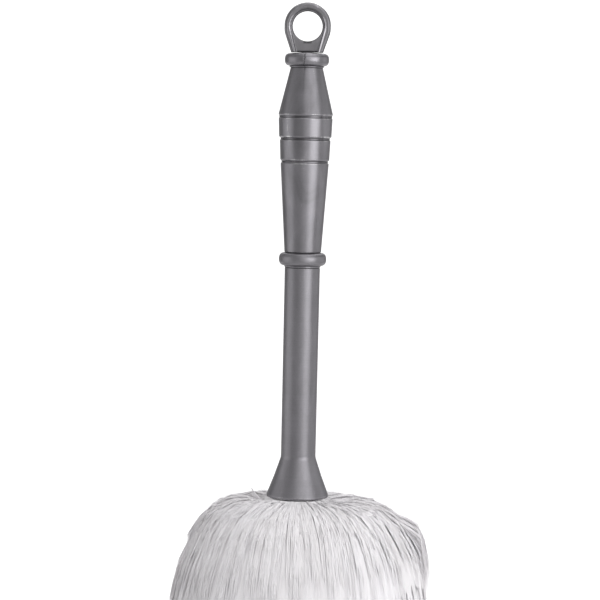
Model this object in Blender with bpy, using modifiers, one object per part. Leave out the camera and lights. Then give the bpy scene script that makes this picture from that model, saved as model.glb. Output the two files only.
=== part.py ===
# Static duster: a long head of soft white locks on a moulded grey handle.
# It hangs straight down from its eye. Metres, +Z up, and the origin is the top of the eye's hole,
# where a hook carries it. The loop's flat faces look along -Y and +Y.

import math
import random

import bmesh
import bpy
from mathutils import Matrix, Vector

MM = 0.001

# Clearances
SEAT_GAP = 0.3 * MM          # between pieces that stay together
SWIVEL_GAP = 0.3 * MM        # round the loop's stem, which turns in the collar
PULL_GAP = 0.3 * MM          # round the head's spigot, which slides in its socket

# Hanging loop
EYE_RADIUS = 8.9 * MM
EYE_LAND = 1.4 * MM          # flat web left between the hole and the proud rim
RIM_WIDTH = 3.5 * MM
LOOP_CROWN = 0.35 * MM       # the outline's upper round is centred this far above the hole
LOOP_STRETCH = 1.45 * MM     # and its lower round this far below that
LOOP_THICKNESS = 8.0 * MM
WEB_THICKNESS = 3.0 * MM
RIM_EDGE = 0.9 * MM          # rounding of the rim's outer edge
EYE_TO_FOOT = 15.3 * MM
FOOT_HALF_WIDTH = 9.6 * MM
RECESS_FOOT_HALF_WIDTH = 7.4 * MM
RELIEF_HEIGHT = 0.6 * MM     # slot under the web, between the two feet of the rim
PANEL_THICKNESS = 1.2 * MM   # thin wall that closes the slot's middle
TANG_HALF_WIDTH = 3.0 * MM
STEM_RADIUS = 3.6 * MM
BARB_OVERHANG = 1.1 * MM     # how far the snap head stands out past the stem
BARB_TIP_RADIUS = 2.4 * MM
BARB_LENGTH = 5.5 * MM
BARB_SLOT = 1.6 * MM

# Grip
GRIP_WALL = 2.2 * MM
COLLAR_RADIUS = 13.25 * MM
COLLAR_HEIGHT = 8.0 * MM
COLLAR_FLOOR = 3.6 * MM      # thickness of the disc that the stem passes through
NECK_RADIUS = 9.5 * MM
CONE_LENGTH = 28.8 * MM
CONE_BASE_RADIUS = 16.35 * MM
GROOVE_WIDTH = 1.9 * MM
GROOVE_DEPTH = 0.7 * MM
BAND_ROUND = 0.9 * MM        # rounding of a band's lower edge
UPPER_BAND_LENGTH = 11.7 * MM
UPPER_BAND_RADII = (16.15 * MM, 15.72 * MM)
LOWER_BAND_LENGTH = 11.8 * MM
LOWER_BAND_RADII = (15.2 * MM, 14.7 * MM)
TAPER_LENGTH = 53.2 * MM
TAPER_TOP_RADIUS = 14.45 * MM
TAPER_END_RADIUS = 11.05 * MM

# Shaft
SHAFT_WALL = 2.1 * MM
SPIGOT_LENGTH = 26.0 * MM    # the shaft's upper end, inside the grip
BEAD_RADIUS = 14.25 * MM
BEAD_HEIGHT = 8.4 * MM
TUBE_LENGTH = 115.4 * MM
TUBE_TOP_RADIUS = 10.52 * MM
TUBE_END_RADIUS = 10.38 * MM
FLARE_LENGTH = 24.0 * MM
FLARE_RADIUS = 18.7 * MM
LIP_HEIGHT = 1.0 * MM
LIP_ROUND = 0.5 * MM

# Head socket and core
SOCKET_LENGTH = 42.0 * MM
SOCKET_WALL = 2.8 * MM
SOCKET_FLANGE = 4.0 * MM     # height of the conical foot that seats in the flare
PLUG_CLEAR = 1.5 * MM        # the plug stops this short of the socket's upper end
PLUG_FLANGE_RADIUS = 8.6 * MM
PLUG_FLANGE_HEIGHT = 3.0 * MM
CORE_RADIUS = 5.5 * MM
CORE_WALL = 2.0 * MM         # the rod is a tube, closed at its plug and open under the tip cap
CORE_TO_RIM = 4.4 * MM       # the winding starts this far below the flare's rim
WASHER_RADIUS = 12.5 * MM
WASHER_HEIGHT = 1.5 * MM
WASHER_DISH = 2.6 * MM       # how far its outer edge is raised, clear of the locks under it
CAP_WALL = 2.6 * MM
CAP_DEPTH = 11.0 * MM        # how much of the core the tip cap covers
CAP_CROWN = 3.5 * MM

# Fringe winding
TURNS = 14
TURN_PITCH = 18.9 * MM
TAPE_THICKNESS = 1.7 * MM
TAPE_GAP = 0.6 * MM          # between one turn of the tape and the next
LOCKS_PER_TURN = 22
LOCK_LIFT = 3.1 * MM         # a lock's line starts this far below its tape's upper edge
ROOT_RISE = 5.0 * MM         # how far a lock springs up as it leaves the core
RISE_RUN = 8.0 * MM          # most of that rise comes in this distance
DROOP = 52.0 * MM            # how far a lock has dropped where it is DROOP_RADIUS out
DROOP_RADIUS = 79.0 * MM
DROOP_POWER = 5.5
HEAD_RADIUS = 85.0 * MM
TOP_REACH = 0.93             # the first turn's reach as a share of HEAD_RADIUS
TIP_REACH = 0.36             # the last turn's
WIDEST_TURN = 3.6            # counted from 0 at the top
FALL_SLOPE = 1.95            # how steeply the last turn's locks fall, where the first turn's don't
FALL_POWER = 3.4
LOCK_STATIONS = (0.36, 0.63, 0.84)   # shares of a lock's reach
LOCK_WIDTHS = (0.62, 0.70, 0.60)     # shares of the room between neighbouring locks
LOCK_DEPTHS = (4.6 * MM, 4.2 * MM, 2.8 * MM)
THIN_ROOT = 0.3              # a lock is no deeper than this share of its radius
REACH_SPREAD = 0.05
SWAY_SPREAD = 0.14           # sideways lean of a tip, as a share of the room between locks

TURN_STEPS = 32              # sides of the large turned pieces
SMALL_STEPS = 24

# Levels along the axis
EYE_Z = -EYE_RADIUS
FOOT_Z = EYE_Z - EYE_TO_FOOT
COLLAR_TOP = FOOT_Z - SEAT_GAP
COLLAR_BOTTOM = COLLAR_TOP - COLLAR_HEIGHT
CONE_BASE = COLLAR_BOTTOM - CONE_LENGTH
UPPER_BAND_TOP = CONE_BASE - GROOVE_WIDTH
UPPER_BAND_BOTTOM = UPPER_BAND_TOP - UPPER_BAND_LENGTH
LOWER_BAND_TOP = UPPER_BAND_BOTTOM - GROOVE_WIDTH
LOWER_BAND_BOTTOM = LOWER_BAND_TOP - LOWER_BAND_LENGTH
TAPER_TOP = LOWER_BAND_BOTTOM - GROOVE_WIDTH
GRIP_BOTTOM = TAPER_TOP - TAPER_LENGTH
BEAD_TOP = GRIP_BOTTOM - SEAT_GAP
BEAD_BOTTOM = BEAD_TOP - BEAD_HEIGHT
FLARE_TOP = BEAD_BOTTOM - TUBE_LENGTH
RIM_Z = FLARE_TOP - FLARE_LENGTH
WINDING_TOP = RIM_Z - CORE_TO_RIM
WINDING_BOTTOM = WINDING_TOP - TURNS * TURN_PITCH

# Radii that fit one another
LOOP_OUTER_RADIUS = EYE_RADIUS + EYE_LAND + RIM_WIDTH
RECESS_RADIUS = EYE_RADIUS + EYE_LAND
STEM_HOLE_RADIUS = STEM_RADIUS + SWIVEL_GAP
GRIP_BORE_RADIUS = TAPER_END_RADIUS - GRIP_WALL
SHAFT_SPIGOT_RADIUS = GRIP_BORE_RADIUS - SEAT_GAP
SPIGOT_BORE_RADIUS = SHAFT_SPIGOT_RADIUS - SHAFT_WALL
TUBE_BORE_RADIUS = TUBE_END_RADIUS - SHAFT_WALL
SOCKET_RADIUS = TUBE_BORE_RADIUS - SEAT_GAP
PLUG_RADIUS = SOCKET_RADIUS - SOCKET_WALL - PULL_GAP
TAPE_INNER_RADIUS = CORE_RADIUS + SEAT_GAP
TAPE_OUTER_RADIUS = TAPE_INNER_RADIUS + TAPE_THICKNESS


def empty_scene():
    """Remove the start-up objects, so the file holds the duster alone."""
    for item in list(bpy.data.objects):
        bpy.data.objects.remove(item, do_unlink=True)


def new_collection(name):
    """A collection linked to the scene."""
    collection = bpy.data.collections.new(name)
    bpy.context.scene.collection.children.link(collection)
    return collection


empty_scene()
PARTS = new_collection("static_duster")
CUTTERS = new_collection("cutters")


def surface(name, colour, roughness):
    """A plain plastic or fibre material."""
    material = bpy.data.materials.new(name)
    material.use_nodes = True
    shader = material.node_tree.nodes["Principled BSDF"]
    shader.inputs["Base Color"].default_value = (*colour, 1.0)
    shader.inputs["Roughness"].default_value = roughness
    shader.inputs["Metallic"].default_value = 0.0
    return material


def link(name, mesh, collection, material=None):
    """An object for a mesh, in the collection, with its own material."""
    item = bpy.data.objects.new(name, mesh)
    collection.objects.link(item)
    if material is not None:
        mesh.materials.append(material)
    return item


def as_tool(item):
    """Mark an object as one that shapes others and isn't a piece itself."""
    item.hide_render = True
    item.display_type = "WIRE"
    return item


def arc(centre_r, centre_z, radius, start, end, count):
    """Points (r, z) on a circle from start to end, in degrees, counted from +r towards +z."""
    points = []
    for i in range(count):
        angle = math.radians(start + (end - start) * i / (count - 1))
        points.append((centre_r + radius * math.cos(angle), centre_z + radius * math.sin(angle)))
    return points


def screw(item, steps):
    """Turn the object's profile round Z."""
    modifier = item.modifiers.new("turn", "SCREW")
    modifier.axis = "Z"
    modifier.angle = math.tau
    modifier.steps = steps
    modifier.render_steps = steps
    modifier.use_merge_vertices = True
    modifier.merge_threshold = 0.01 * MM
    modifier.use_smooth_shade = True


def turned(name, profile, collection, steps, material=None):
    """A turned piece. The profile's (r, z) points run down its outer side; one that doesn't start
    and end on the axis is a closed ring section, which comes back up its inner side."""
    closed = profile[0][0] > 0.0
    mesh = bpy.data.meshes.new(name)
    points = [(r, 0.0, z) for r, z in profile]
    edges = [(i, i + 1) for i in range(len(points) - 1)]
    if closed:
        edges.append((len(points) - 1, 0))
    mesh.from_pydata(points, edges, [])
    item = link(name, mesh, collection, material)
    screw(item, steps)
    return item


def flat_outline(name, outline, thickness):
    """A plate standing in the XZ plane, made from a filled 2D curve of (x, z) points."""
    curve = bpy.data.curves.new(name, "CURVE")
    curve.dimensions = "2D"
    curve.fill_mode = "BOTH"
    curve.extrude = thickness / 2
    spline = curve.splines.new("POLY")
    spline.points.add(len(outline) - 1)
    for point, (x, z) in zip(spline.points, outline):
        point.co = (x, z, 0.0, 1.0)
    spline.use_cyclic_u = True
    guide = bpy.data.objects.new(name, curve)
    CUTTERS.objects.link(guide)
    guide.rotation_euler = (math.radians(90), 0.0, 0.0)
    bpy.context.view_layer.update()
    evaluated = guide.evaluated_get(bpy.context.evaluated_depsgraph_get())
    mesh = bpy.data.meshes.new_from_object(evaluated)
    mesh.transform(guide.matrix_world)
    bpy.data.objects.remove(guide, do_unlink=True)
    body = bmesh.new()
    body.from_mesh(mesh)
    bmesh.ops.remove_doubles(body, verts=body.verts, dist=0.01 * MM)
    bmesh.ops.dissolve_limit(body, angle_limit=math.radians(0.5), verts=body.verts, edges=body.edges)
    bmesh.ops.recalc_face_normals(body, faces=body.faces)
    body.to_mesh(mesh)
    body.free()
    return mesh


def block(name, size, centre):
    """A box as a tool."""
    mesh = bpy.data.meshes.new(name)
    body = bmesh.new()
    bmesh.ops.create_cube(body, size=1.0)
    bmesh.ops.scale(body, vec=size, verts=body.verts)
    bmesh.ops.translate(body, vec=centre, verts=body.verts)
    body.to_mesh(mesh)
    body.free()
    return as_tool(link(name, mesh, CUTTERS))


def combine(item, tool, operation):
    """Cut or join the object with a tool by an exact Boolean."""
    modifier = item.modifiers.new(tool.name, "BOOLEAN")
    modifier.operation = operation
    modifier.solver = "EXACT"
    modifier.object = tool


def keyhole(round_radius, upper_z, lower_z, foot_half_width, foot_z, count):
    """The loop's outline: a half round on the upper centre, a short upright run to the lower
    centre, and from its round straight sides that touch it and run in to the foot."""
    drop = lower_z - foot_z
    reach = math.hypot(foot_half_width, drop)
    lean = math.degrees(math.asin(round_radius / reach) - math.atan2(foot_half_width, drop))
    right = arc(0.0, lower_z, round_radius, -lean, 0.0, 5)
    head = arc(0.0, upper_z, round_radius, 0.0, 180.0, count)
    left = arc(0.0, lower_z, round_radius, 180.0, 180.0 + lean, 5)
    if upper_z == lower_z:
        right, left = right[:-1], left[1:]
    return [(foot_half_width, foot_z)] + right + head + left + [(-foot_half_width, foot_z)]


def hanging_loop(material):
    """The eye: a thick keyhole plate, recessed on both faces inside a proud rim, on a split stem
    whose barbed end snaps through the collar's floor and turns there."""
    upper = EYE_Z + LOOP_CROWN
    outline = keyhole(LOOP_OUTER_RADIUS, upper, upper - LOOP_STRETCH, FOOT_HALF_WIDTH, FOOT_Z, 25)
    loop = link("hanging_loop", flat_outline("plate", outline, LOOP_THICKNESS), PARTS, material)
    edge = loop.modifiers.new("rim_edge", "BEVEL")
    edge.width = RIM_EDGE
    edge.segments = 2
    edge.limit_method = "ANGLE"
    edge.angle_limit = math.radians(60)

    recess_depth = (LOOP_THICKNESS - WEB_THICKNESS) / 2
    overcut = 2.0 * MM
    recess_outline = keyhole(RECESS_RADIUS, EYE_Z, EYE_Z, RECESS_FOOT_HALF_WIDTH, FOOT_Z - overcut, 21)
    for side, name in ((-1, "front_recess"), (1, "back_recess")):
        mesh = flat_outline(name, recess_outline, recess_depth + overcut)
        middle = WEB_THICKNESS / 2 + (recess_depth + overcut) / 2
        mesh.transform(Matrix.Translation((0.0, side * middle, 0.0)))
        combine(loop, as_tool(link(name, mesh, CUTTERS)), "DIFFERENCE")

    mesh = bpy.data.meshes.new("eye_hole")
    body = bmesh.new()
    turn = Matrix.Translation((0.0, 0.0, EYE_Z)) @ Matrix.Rotation(math.radians(90), 4, "X")
    bmesh.ops.create_cone(body, cap_ends=True, segments=32, radius1=EYE_RADIUS, radius2=EYE_RADIUS,
                          depth=LOOP_THICKNESS + overcut, matrix=turn)
    body.to_mesh(mesh)
    body.free()
    combine(loop, as_tool(link("eye_hole", mesh, CUTTERS)), "DIFFERENCE")

    relief = block("foot_relief",
                   (2 * RECESS_FOOT_HALF_WIDTH, LOOP_THICKNESS + overcut, 2 * RELIEF_HEIGHT),
                   (0.0, 0.0, FOOT_Z))
    combine(loop, relief, "DIFFERENCE")

    stem_top = COLLAR_TOP - SEAT_GAP
    tang_top = FOOT_Z + RELIEF_HEIGHT + 1.5 * MM
    tang_bottom = stem_top - 1.5 * MM
    tang = block("tang", (2 * TANG_HALF_WIDTH, 0.9 * WEB_THICKNESS, tang_top - tang_bottom),
                 (0.0, 0.0, (tang_top + tang_bottom) / 2))
    combine(loop, tang, "UNION")
    panel_top = tang_top - 0.4 * MM
    panel = block("foot_panel",
                  (2 * RECESS_FOOT_HALF_WIDTH + 0.6 * MM, PANEL_THICKNESS, panel_top - FOOT_Z),
                  (0.0, 0.0, (panel_top + FOOT_Z) / 2))
    combine(loop, panel, "UNION")

    barb_top = COLLAR_TOP - COLLAR_FLOOR - SEAT_GAP
    stem = turned("stem", [
        (0.0, stem_top),
        (STEM_RADIUS, stem_top),
        (STEM_RADIUS, barb_top),
        (STEM_RADIUS + BARB_OVERHANG, barb_top),
        (STEM_RADIUS + BARB_OVERHANG, barb_top - 1.2 * MM),
        (BARB_TIP_RADIUS, barb_top - BARB_LENGTH),
        (0.0, barb_top - BARB_LENGTH),
    ], CUTTERS, SMALL_STEPS)
    combine(loop, as_tool(stem), "UNION")

    slot_height = BARB_LENGTH + COLLAR_FLOOR / 2
    slot = block("barb_slot", (BARB_SLOT, 4 * STEM_RADIUS, slot_height),
                 (0.0, 0.0, barb_top - BARB_LENGTH + slot_height / 2 - overcut))
    combine(loop, slot, "DIFFERENCE")
    return loop


def bead(top, height, radius, count):
    """Half-round outline of a bead, from its top round to its bottom."""
    round_radius = height / 2
    return arc(radius - round_radius, top - round_radius, round_radius, 90.0, -90.0, count)


def groove(top, upper_radius, lower_radius):
    """A rounded groove between two bands."""
    floor_radius = min(upper_radius, lower_radius) - GROOVE_DEPTH
    middle = top - GROOVE_WIDTH / 2
    return [(floor_radius, middle + GROOVE_WIDTH / 6), (floor_radius, middle - GROOVE_WIDTH / 6)]


def band(top, bottom, radii):
    """A gently tapered band with a rounded lower edge."""
    upper, lower = radii
    return [
        (upper, top),
        (lower, bottom + BAND_ROUND),
        (lower - BAND_ROUND / 3, bottom + BAND_ROUND / 3),
        (lower - BAND_ROUND, bottom),
    ]


def grip(material):
    """The hollow hand grip: collar, cone, two bands between three grooves, and the long taper."""
    outer = bead(COLLAR_TOP, COLLAR_HEIGHT, COLLAR_RADIUS, 9)[:-1]
    outer += [(NECK_RADIUS, COLLAR_BOTTOM), (CONE_BASE_RADIUS, CONE_BASE + BAND_ROUND / 2)]
    outer.append((CONE_BASE_RADIUS - BAND_ROUND / 2, CONE_BASE))
    outer += groove(CONE_BASE, CONE_BASE_RADIUS, UPPER_BAND_RADII[0])
    outer += band(UPPER_BAND_TOP, UPPER_BAND_BOTTOM, UPPER_BAND_RADII)
    outer += groove(UPPER_BAND_BOTTOM, UPPER_BAND_RADII[1] - BAND_ROUND, LOWER_BAND_RADII[0])
    outer += band(LOWER_BAND_TOP, LOWER_BAND_BOTTOM, LOWER_BAND_RADII)
    outer += groove(LOWER_BAND_BOTTOM, LOWER_BAND_RADII[1] - BAND_ROUND, TAPER_TOP_RADIUS)
    outer += [(TAPER_TOP_RADIUS, TAPER_TOP), (TAPER_END_RADIUS, GRIP_BOTTOM)]

    bore_top = GRIP_BOTTOM + SPIGOT_LENGTH + SEAT_GAP
    taper_share = (bore_top - GRIP_BOTTOM) / TAPER_LENGTH
    radius_there = TAPER_END_RADIUS + (TAPER_TOP_RADIUS - TAPER_END_RADIUS) * taper_share
    deep_wall = GRIP_WALL + GROOVE_DEPTH
    inner = [
        (GRIP_BORE_RADIUS, GRIP_BOTTOM),
        (GRIP_BORE_RADIUS, bore_top),
        (radius_there - GRIP_WALL, bore_top + 1.0 * MM),
        (TAPER_TOP_RADIUS - deep_wall, TAPER_TOP),
        (CONE_BASE_RADIUS - deep_wall, CONE_BASE),
        (NECK_RADIUS - GRIP_WALL, COLLAR_BOTTOM),
        (NECK_RADIUS - GRIP_WALL, COLLAR_TOP - COLLAR_FLOOR),
        (STEM_HOLE_RADIUS, COLLAR_TOP - COLLAR_FLOOR),
        (STEM_HOLE_RADIUS, COLLAR_TOP),
    ]
    return turned("grip", outer + inner, PARTS, TURN_STEPS, material)


def flare_inner_radius(z):
    """Radius of the flare's inside at a level, between the tube's bore and the lip."""
    share = (FLARE_TOP - z) / FLARE_LENGTH
    return TUBE_BORE_RADIUS + (FLARE_RADIUS - SHAFT_WALL - TUBE_BORE_RADIUS) * share


def shaft(material):
    """The hollow shaft: a spigot that pushes up into the grip, the bead that meets the grip's end,
    the tube, and the flared mouth over the head's root."""
    spigot_top = BEAD_TOP + SPIGOT_LENGTH
    lead_in = 1.0 * MM
    outer = [
        (SHAFT_SPIGOT_RADIUS - lead_in, spigot_top),
        (SHAFT_SPIGOT_RADIUS, spigot_top - lead_in),
        (SHAFT_SPIGOT_RADIUS, BEAD_TOP),
    ]
    outer += bead(BEAD_TOP, BEAD_HEIGHT, BEAD_RADIUS, 9)[:-1]
    outer += [
        (TUBE_TOP_RADIUS, BEAD_BOTTOM),
        (TUBE_END_RADIUS, FLARE_TOP),
        (FLARE_RADIUS - LIP_ROUND / 2, RIM_Z + LIP_HEIGHT),
        (FLARE_RADIUS, RIM_Z + LIP_HEIGHT / 2),
        (FLARE_RADIUS - LIP_ROUND, RIM_Z),
    ]
    inner = [
        (FLARE_RADIUS - SHAFT_WALL, RIM_Z),
        (TUBE_BORE_RADIUS, FLARE_TOP),
        (TUBE_BORE_RADIUS, BEAD_BOTTOM),
        (SPIGOT_BORE_RADIUS, BEAD_TOP),
        (SPIGOT_BORE_RADIUS, spigot_top),
    ]
    return turned("shaft", outer + inner, PARTS, TURN_STEPS, material)


def head_socket(material):
    """The bush pressed into the tube's lower end, with a conical foot seated in the flare."""
    top = FLARE_TOP + SOCKET_LENGTH
    foot = FLARE_TOP - SOCKET_FLANGE
    bore = SOCKET_RADIUS - SOCKET_WALL
    foot_radius = flare_inner_radius(foot) - 1.5 * SEAT_GAP
    profile = [
        (SOCKET_RADIUS - 0.8 * MM, top),
        (SOCKET_RADIUS, top - 0.8 * MM),
        (SOCKET_RADIUS, FLARE_TOP),
        (foot_radius, foot),
        (bore + 0.8 * MM, foot),
        (bore, foot + 0.8 * MM),
        (bore, top),
    ]
    return turned("head_socket", profile, PARTS, SMALL_STEPS, material)


def head_core(material):
    """The tubular rod that carries the winding: a plug that pushes up into the socket, a stop
    flange, and the long core."""
    plug_top = FLARE_TOP + SOCKET_LENGTH - PLUG_CLEAR
    flange_top = FLARE_TOP - SOCKET_FLANGE - SEAT_GAP
    profile = [
        (0.0, plug_top),
        (PLUG_RADIUS - 1.0 * MM, plug_top),
        (PLUG_RADIUS, plug_top - 2.0 * MM),
        (PLUG_RADIUS, flange_top),
        (PLUG_FLANGE_RADIUS, flange_top),
        (PLUG_FLANGE_RADIUS, flange_top - PLUG_FLANGE_HEIGHT),
        (CORE_RADIUS, flange_top - PLUG_FLANGE_HEIGHT),
        (CORE_RADIUS, WINDING_BOTTOM - CAP_DEPTH),
        (CORE_RADIUS - CORE_WALL, WINDING_BOTTOM - CAP_DEPTH),
        (CORE_RADIUS - CORE_WALL, plug_top - 2 * CORE_WALL),
        (0.0, plug_top - 2 * CORE_WALL),
    ]
    return turned("head_core", profile, PARTS, SMALL_STEPS, material)


def root_washer(material):
    """The dished disc on the core that keeps the winding's first turn from creeping into the
    flare. Its outer part is raised, clear of the locks that spring up beside it."""
    bottom = WINDING_TOP + TAPE_GAP / 2
    top = bottom + WASHER_HEIGHT
    profile = [
        (TAPE_OUTER_RADIUS, top),
        (WASHER_RADIUS, top + WASHER_DISH),
        (WASHER_RADIUS, bottom + WASHER_DISH + WASHER_HEIGHT / 3),
        (TAPE_OUTER_RADIUS, bottom),
        (TAPE_INNER_RADIUS, bottom),
        (TAPE_INNER_RADIUS, top),
    ]
    return turned("root_washer", profile, PARTS, SMALL_STEPS, material)


def tip_cap(material):
    """The rounded cap pushed over the core's lower end, which stops the last turn."""
    outer_radius = TAPE_INNER_RADIUS + CAP_WALL
    top = WINDING_BOTTOM
    floor = WINDING_BOTTOM - CAP_DEPTH - SEAT_GAP
    bottom = floor - CAP_CROWN
    profile = [
        (0.0, floor),
        (TAPE_INNER_RADIUS, floor),
        (TAPE_INNER_RADIUS, top),
        (outer_radius, top),
        (outer_radius, floor + CAP_CROWN / 2),
        (0.82 * outer_radius, floor - 0.45 * CAP_CROWN),
        (0.45 * outer_radius, bottom + 0.12 * CAP_CROWN),
        (0.0, bottom),
    ]
    return turned("tip_cap", profile, PARTS, SMALL_STEPS, material)


def turn_reach(turn):
    """How far out the locks of a turn reach: a rounded profile, widest at WIDEST_TURN."""
    if turn < WIDEST_TURN:
        share = 1.0 - (1.0 - TOP_REACH) * ((WIDEST_TURN - turn) / WIDEST_TURN) ** 2
    else:
        below = (turn - WIDEST_TURN) / (TURNS - 1 - WIDEST_TURN)
        share = 1.0 - (1.0 - TIP_REACH) * below ** 2.6
    return HEAD_RADIUS * share


def lock_height(turn, r):
    """Level of a lock's line at radius r: it springs up a little, runs out nearly level and then
    droops, and the lower turns fall all the way. Each turn's line lies below the one before at any
    r, so locks of different turns never cross."""
    out = r - TAPE_OUTER_RADIUS
    start = WINDING_TOP - turn * TURN_PITCH - LOCK_LIFT
    rise = ROOT_RISE * (1.0 - math.exp(-out / RISE_RUN))
    fall = FALL_SLOPE * (turn / (TURNS - 1)) ** FALL_POWER * out
    return start + rise - fall - DROOP * (r / DROOP_RADIUS) ** DROOP_POWER


def tape_turn(turn, offset):
    """One closed turn of the backing tape as a bmesh, with an outer face for each lock."""
    top = WINDING_TOP - turn * TURN_PITCH - TAPE_GAP / 2
    bottom = top - TURN_PITCH + TAPE_GAP
    body = bmesh.new()
    section = [(TAPE_OUTER_RADIUS, top), (TAPE_OUTER_RADIUS, bottom),
               (TAPE_INNER_RADIUS, bottom), (TAPE_INNER_RADIUS, top)]
    corners = [body.verts.new((r * math.cos(offset), r * math.sin(offset), z)) for r, z in section]
    edges = [body.edges.new((corners[i], corners[(i + 1) % 4])) for i in range(4)]
    bmesh.ops.spin(body, geom=edges, cent=(0, 0, 0), axis=(0, 0, 1), angle=math.tau,
                   steps=LOCKS_PER_TURN, use_merge=True)
    bmesh.ops.remove_doubles(body, verts=body.verts, dist=0.01 * MM)
    bmesh.ops.recalc_face_normals(body, faces=body.faces)
    return body


def outer_faces(body):
    """The tape's faces that look away from the axis."""
    found = []
    for face in body.faces:
        centre = face.calc_center_median()
        outward = Vector((centre.x, centre.y, 0.0)).normalized()
        if face.normal.dot(outward) > 0.7:
            found.append(face)
    return found


def lock_section(turn, azimuth, r, width, depth):
    """The three corners of a lock's section: two on its upper side and one under it."""
    outward = Vector((math.cos(azimuth), math.sin(azimuth), 0.0))
    across = Vector((-math.sin(azimuth), math.cos(azimuth), 0.0))
    step = 0.5 * MM
    fall = (lock_height(turn, r + step) - lock_height(turn, r - step)) / (2 * step)
    along = (outward + Vector((0.0, 0.0, fall))).normalized()
    upper = across.cross(along).normalized()
    if upper.z < 0.0:
        upper.negate()
    centre = outward * r + Vector((0.0, 0.0, lock_height(turn, r)))
    return [
        centre + across * (width / 2) + upper * (depth / 3),
        centre - across * (width / 2) + upper * (depth / 3),
        centre - upper * (depth * 2 / 3),
    ]


def extrude(body, face):
    """Extrude a face in place and return the new face."""
    return bmesh.ops.extrude_discrete_faces(body, faces=[face])["faces"][0]


def first_section(body, face, azimuth, corners):
    """Bring a tape face's copy to a lock's first section: its lower two corners become one."""
    across = Vector((-math.sin(azimuth), math.cos(azimuth), 0.0))
    by_height = sorted(extrude(body, face).verts, key=lambda vert: vert.co.z)
    upper = sorted(by_height[2:], key=lambda vert: -vert.co.dot(across))
    bmesh.ops.pointmerge(body, verts=by_height[:2], merge_co=corners[2])
    upper[0].co = corners[0]
    upper[1].co = corners[1]
    return next(near for near in upper[0].link_faces if len(near.verts) == 3 and upper[1] in near.verts)


def next_section(body, face, before, corners):
    """Extrude a lock's last section and move its copy to the next one."""
    face = extrude(body, face)
    for vert in face.verts:
        nearest = min(range(3), key=lambda i: (vert.co - before[i]).length)
        vert.co = corners[nearest]
    return face


def grow_lock(body, face, turn, chance):
    """Extrude one face of the tape into a drooping, pointed lock."""
    centre = face.calc_center_median()
    azimuth = math.atan2(centre.y, centre.x)
    room = math.tau / LOCKS_PER_TURN
    sway = room * SWAY_SPREAD * chance.uniform(-1.0, 1.0)
    reach = turn_reach(turn) * (1.0 + REACH_SPREAD * chance.uniform(-1.0, 1.0))

    before = None
    for share, fill, depth in zip(LOCK_STATIONS, LOCK_WIDTHS, LOCK_DEPTHS):
        r = TAPE_OUTER_RADIUS + (reach - TAPE_OUTER_RADIUS) * share
        corners = lock_section(turn, azimuth + sway * share ** 2, r, room * r * fill,
                               min(depth, r * THIN_ROOT))
        if before is None:
            face = first_section(body, face, azimuth, corners)
        else:
            face = next_section(body, face, before, corners)
        before = corners

    point = Vector((math.cos(azimuth + sway), math.sin(azimuth + sway), 0.0)) * reach
    point.z = lock_height(turn, reach)
    bmesh.ops.pointmerge(body, verts=list(extrude(body, face).verts), merge_co=point)


def fringe_turn(turn, material, chance):
    """One turn of the wound fringe: its slice of tape, with every lock growing out of it."""
    offset = (turn * 0.5 + 0.17 * math.sin(turn * 2.4)) * math.tau / LOCKS_PER_TURN
    body = tape_turn(turn, offset)
    for face in outer_faces(body):
        grow_lock(body, face, turn, chance)
    name = "fringe_turn_%02d" % (turn + 1)
    mesh = bpy.data.meshes.new(name)
    body.to_mesh(mesh)
    body.free()
    return link(name, mesh, PARTS, material)


def build():
    """Model every piece, and hang the three groups that move from empties on their axes."""
    grey = (0.155, 0.152, 0.160)
    loop = hanging_loop(surface("loop_grey", grey, 0.42))
    handle = [
        grip(surface("grip_grey", grey, 0.40)),
        shaft(surface("shaft_grey", grey, 0.40)),
        head_socket(surface("socket_natural", (0.62, 0.62, 0.60), 0.50)),
    ]
    head = [
        head_core(surface("core_white", (0.75, 0.75, 0.74), 0.50)),
        root_washer(surface("washer_white", (0.75, 0.75, 0.74), 0.50)),
        tip_cap(surface("cap_white", (0.75, 0.75, 0.74), 0.50)),
    ]
    chance = random.Random(11)
    for turn in range(TURNS):
        shade = 0.80 + 0.04 * math.sin(turn * 1.7)
        fibre = surface("fringe_white_%02d" % (turn + 1), (shade, shade, shade), 0.85)
        head.append(fringe_turn(turn, fibre, chance))

    swivel = bpy.data.objects.new("loop_swivel_axis", None)
    swivel.location = (0.0, 0.0, COLLAR_TOP)
    pull = bpy.data.objects.new("head_pull_axis", None)
    pull.location = (0.0, 0.0, FLARE_TOP - SOCKET_FLANGE)
    for axis in (swivel, pull):
        PARTS.objects.link(axis)
    bpy.context.view_layer.update()
    for item in handle:
        hang(item, swivel)
    for item in head:
        hang(item, pull)
    hang(pull, swivel)
    return loop


def hang(item, parent):
    """Parent an object and leave it where it stands."""
    bpy.context.view_layer.update()
    item.parent = parent
    item.matrix_parent_inverse = parent.matrix_world.inverted()


build()
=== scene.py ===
# A static duster: a fluffy head of soft white fibres on a moulded grey handle, hanging by its eye.
# The scene is in metres with +Z up, and the camera looks along +Y at the loop's flat face. The
# lengths of the duster's own pieces are in millimetres, and mesh_object makes metres of them.

import math

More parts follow.
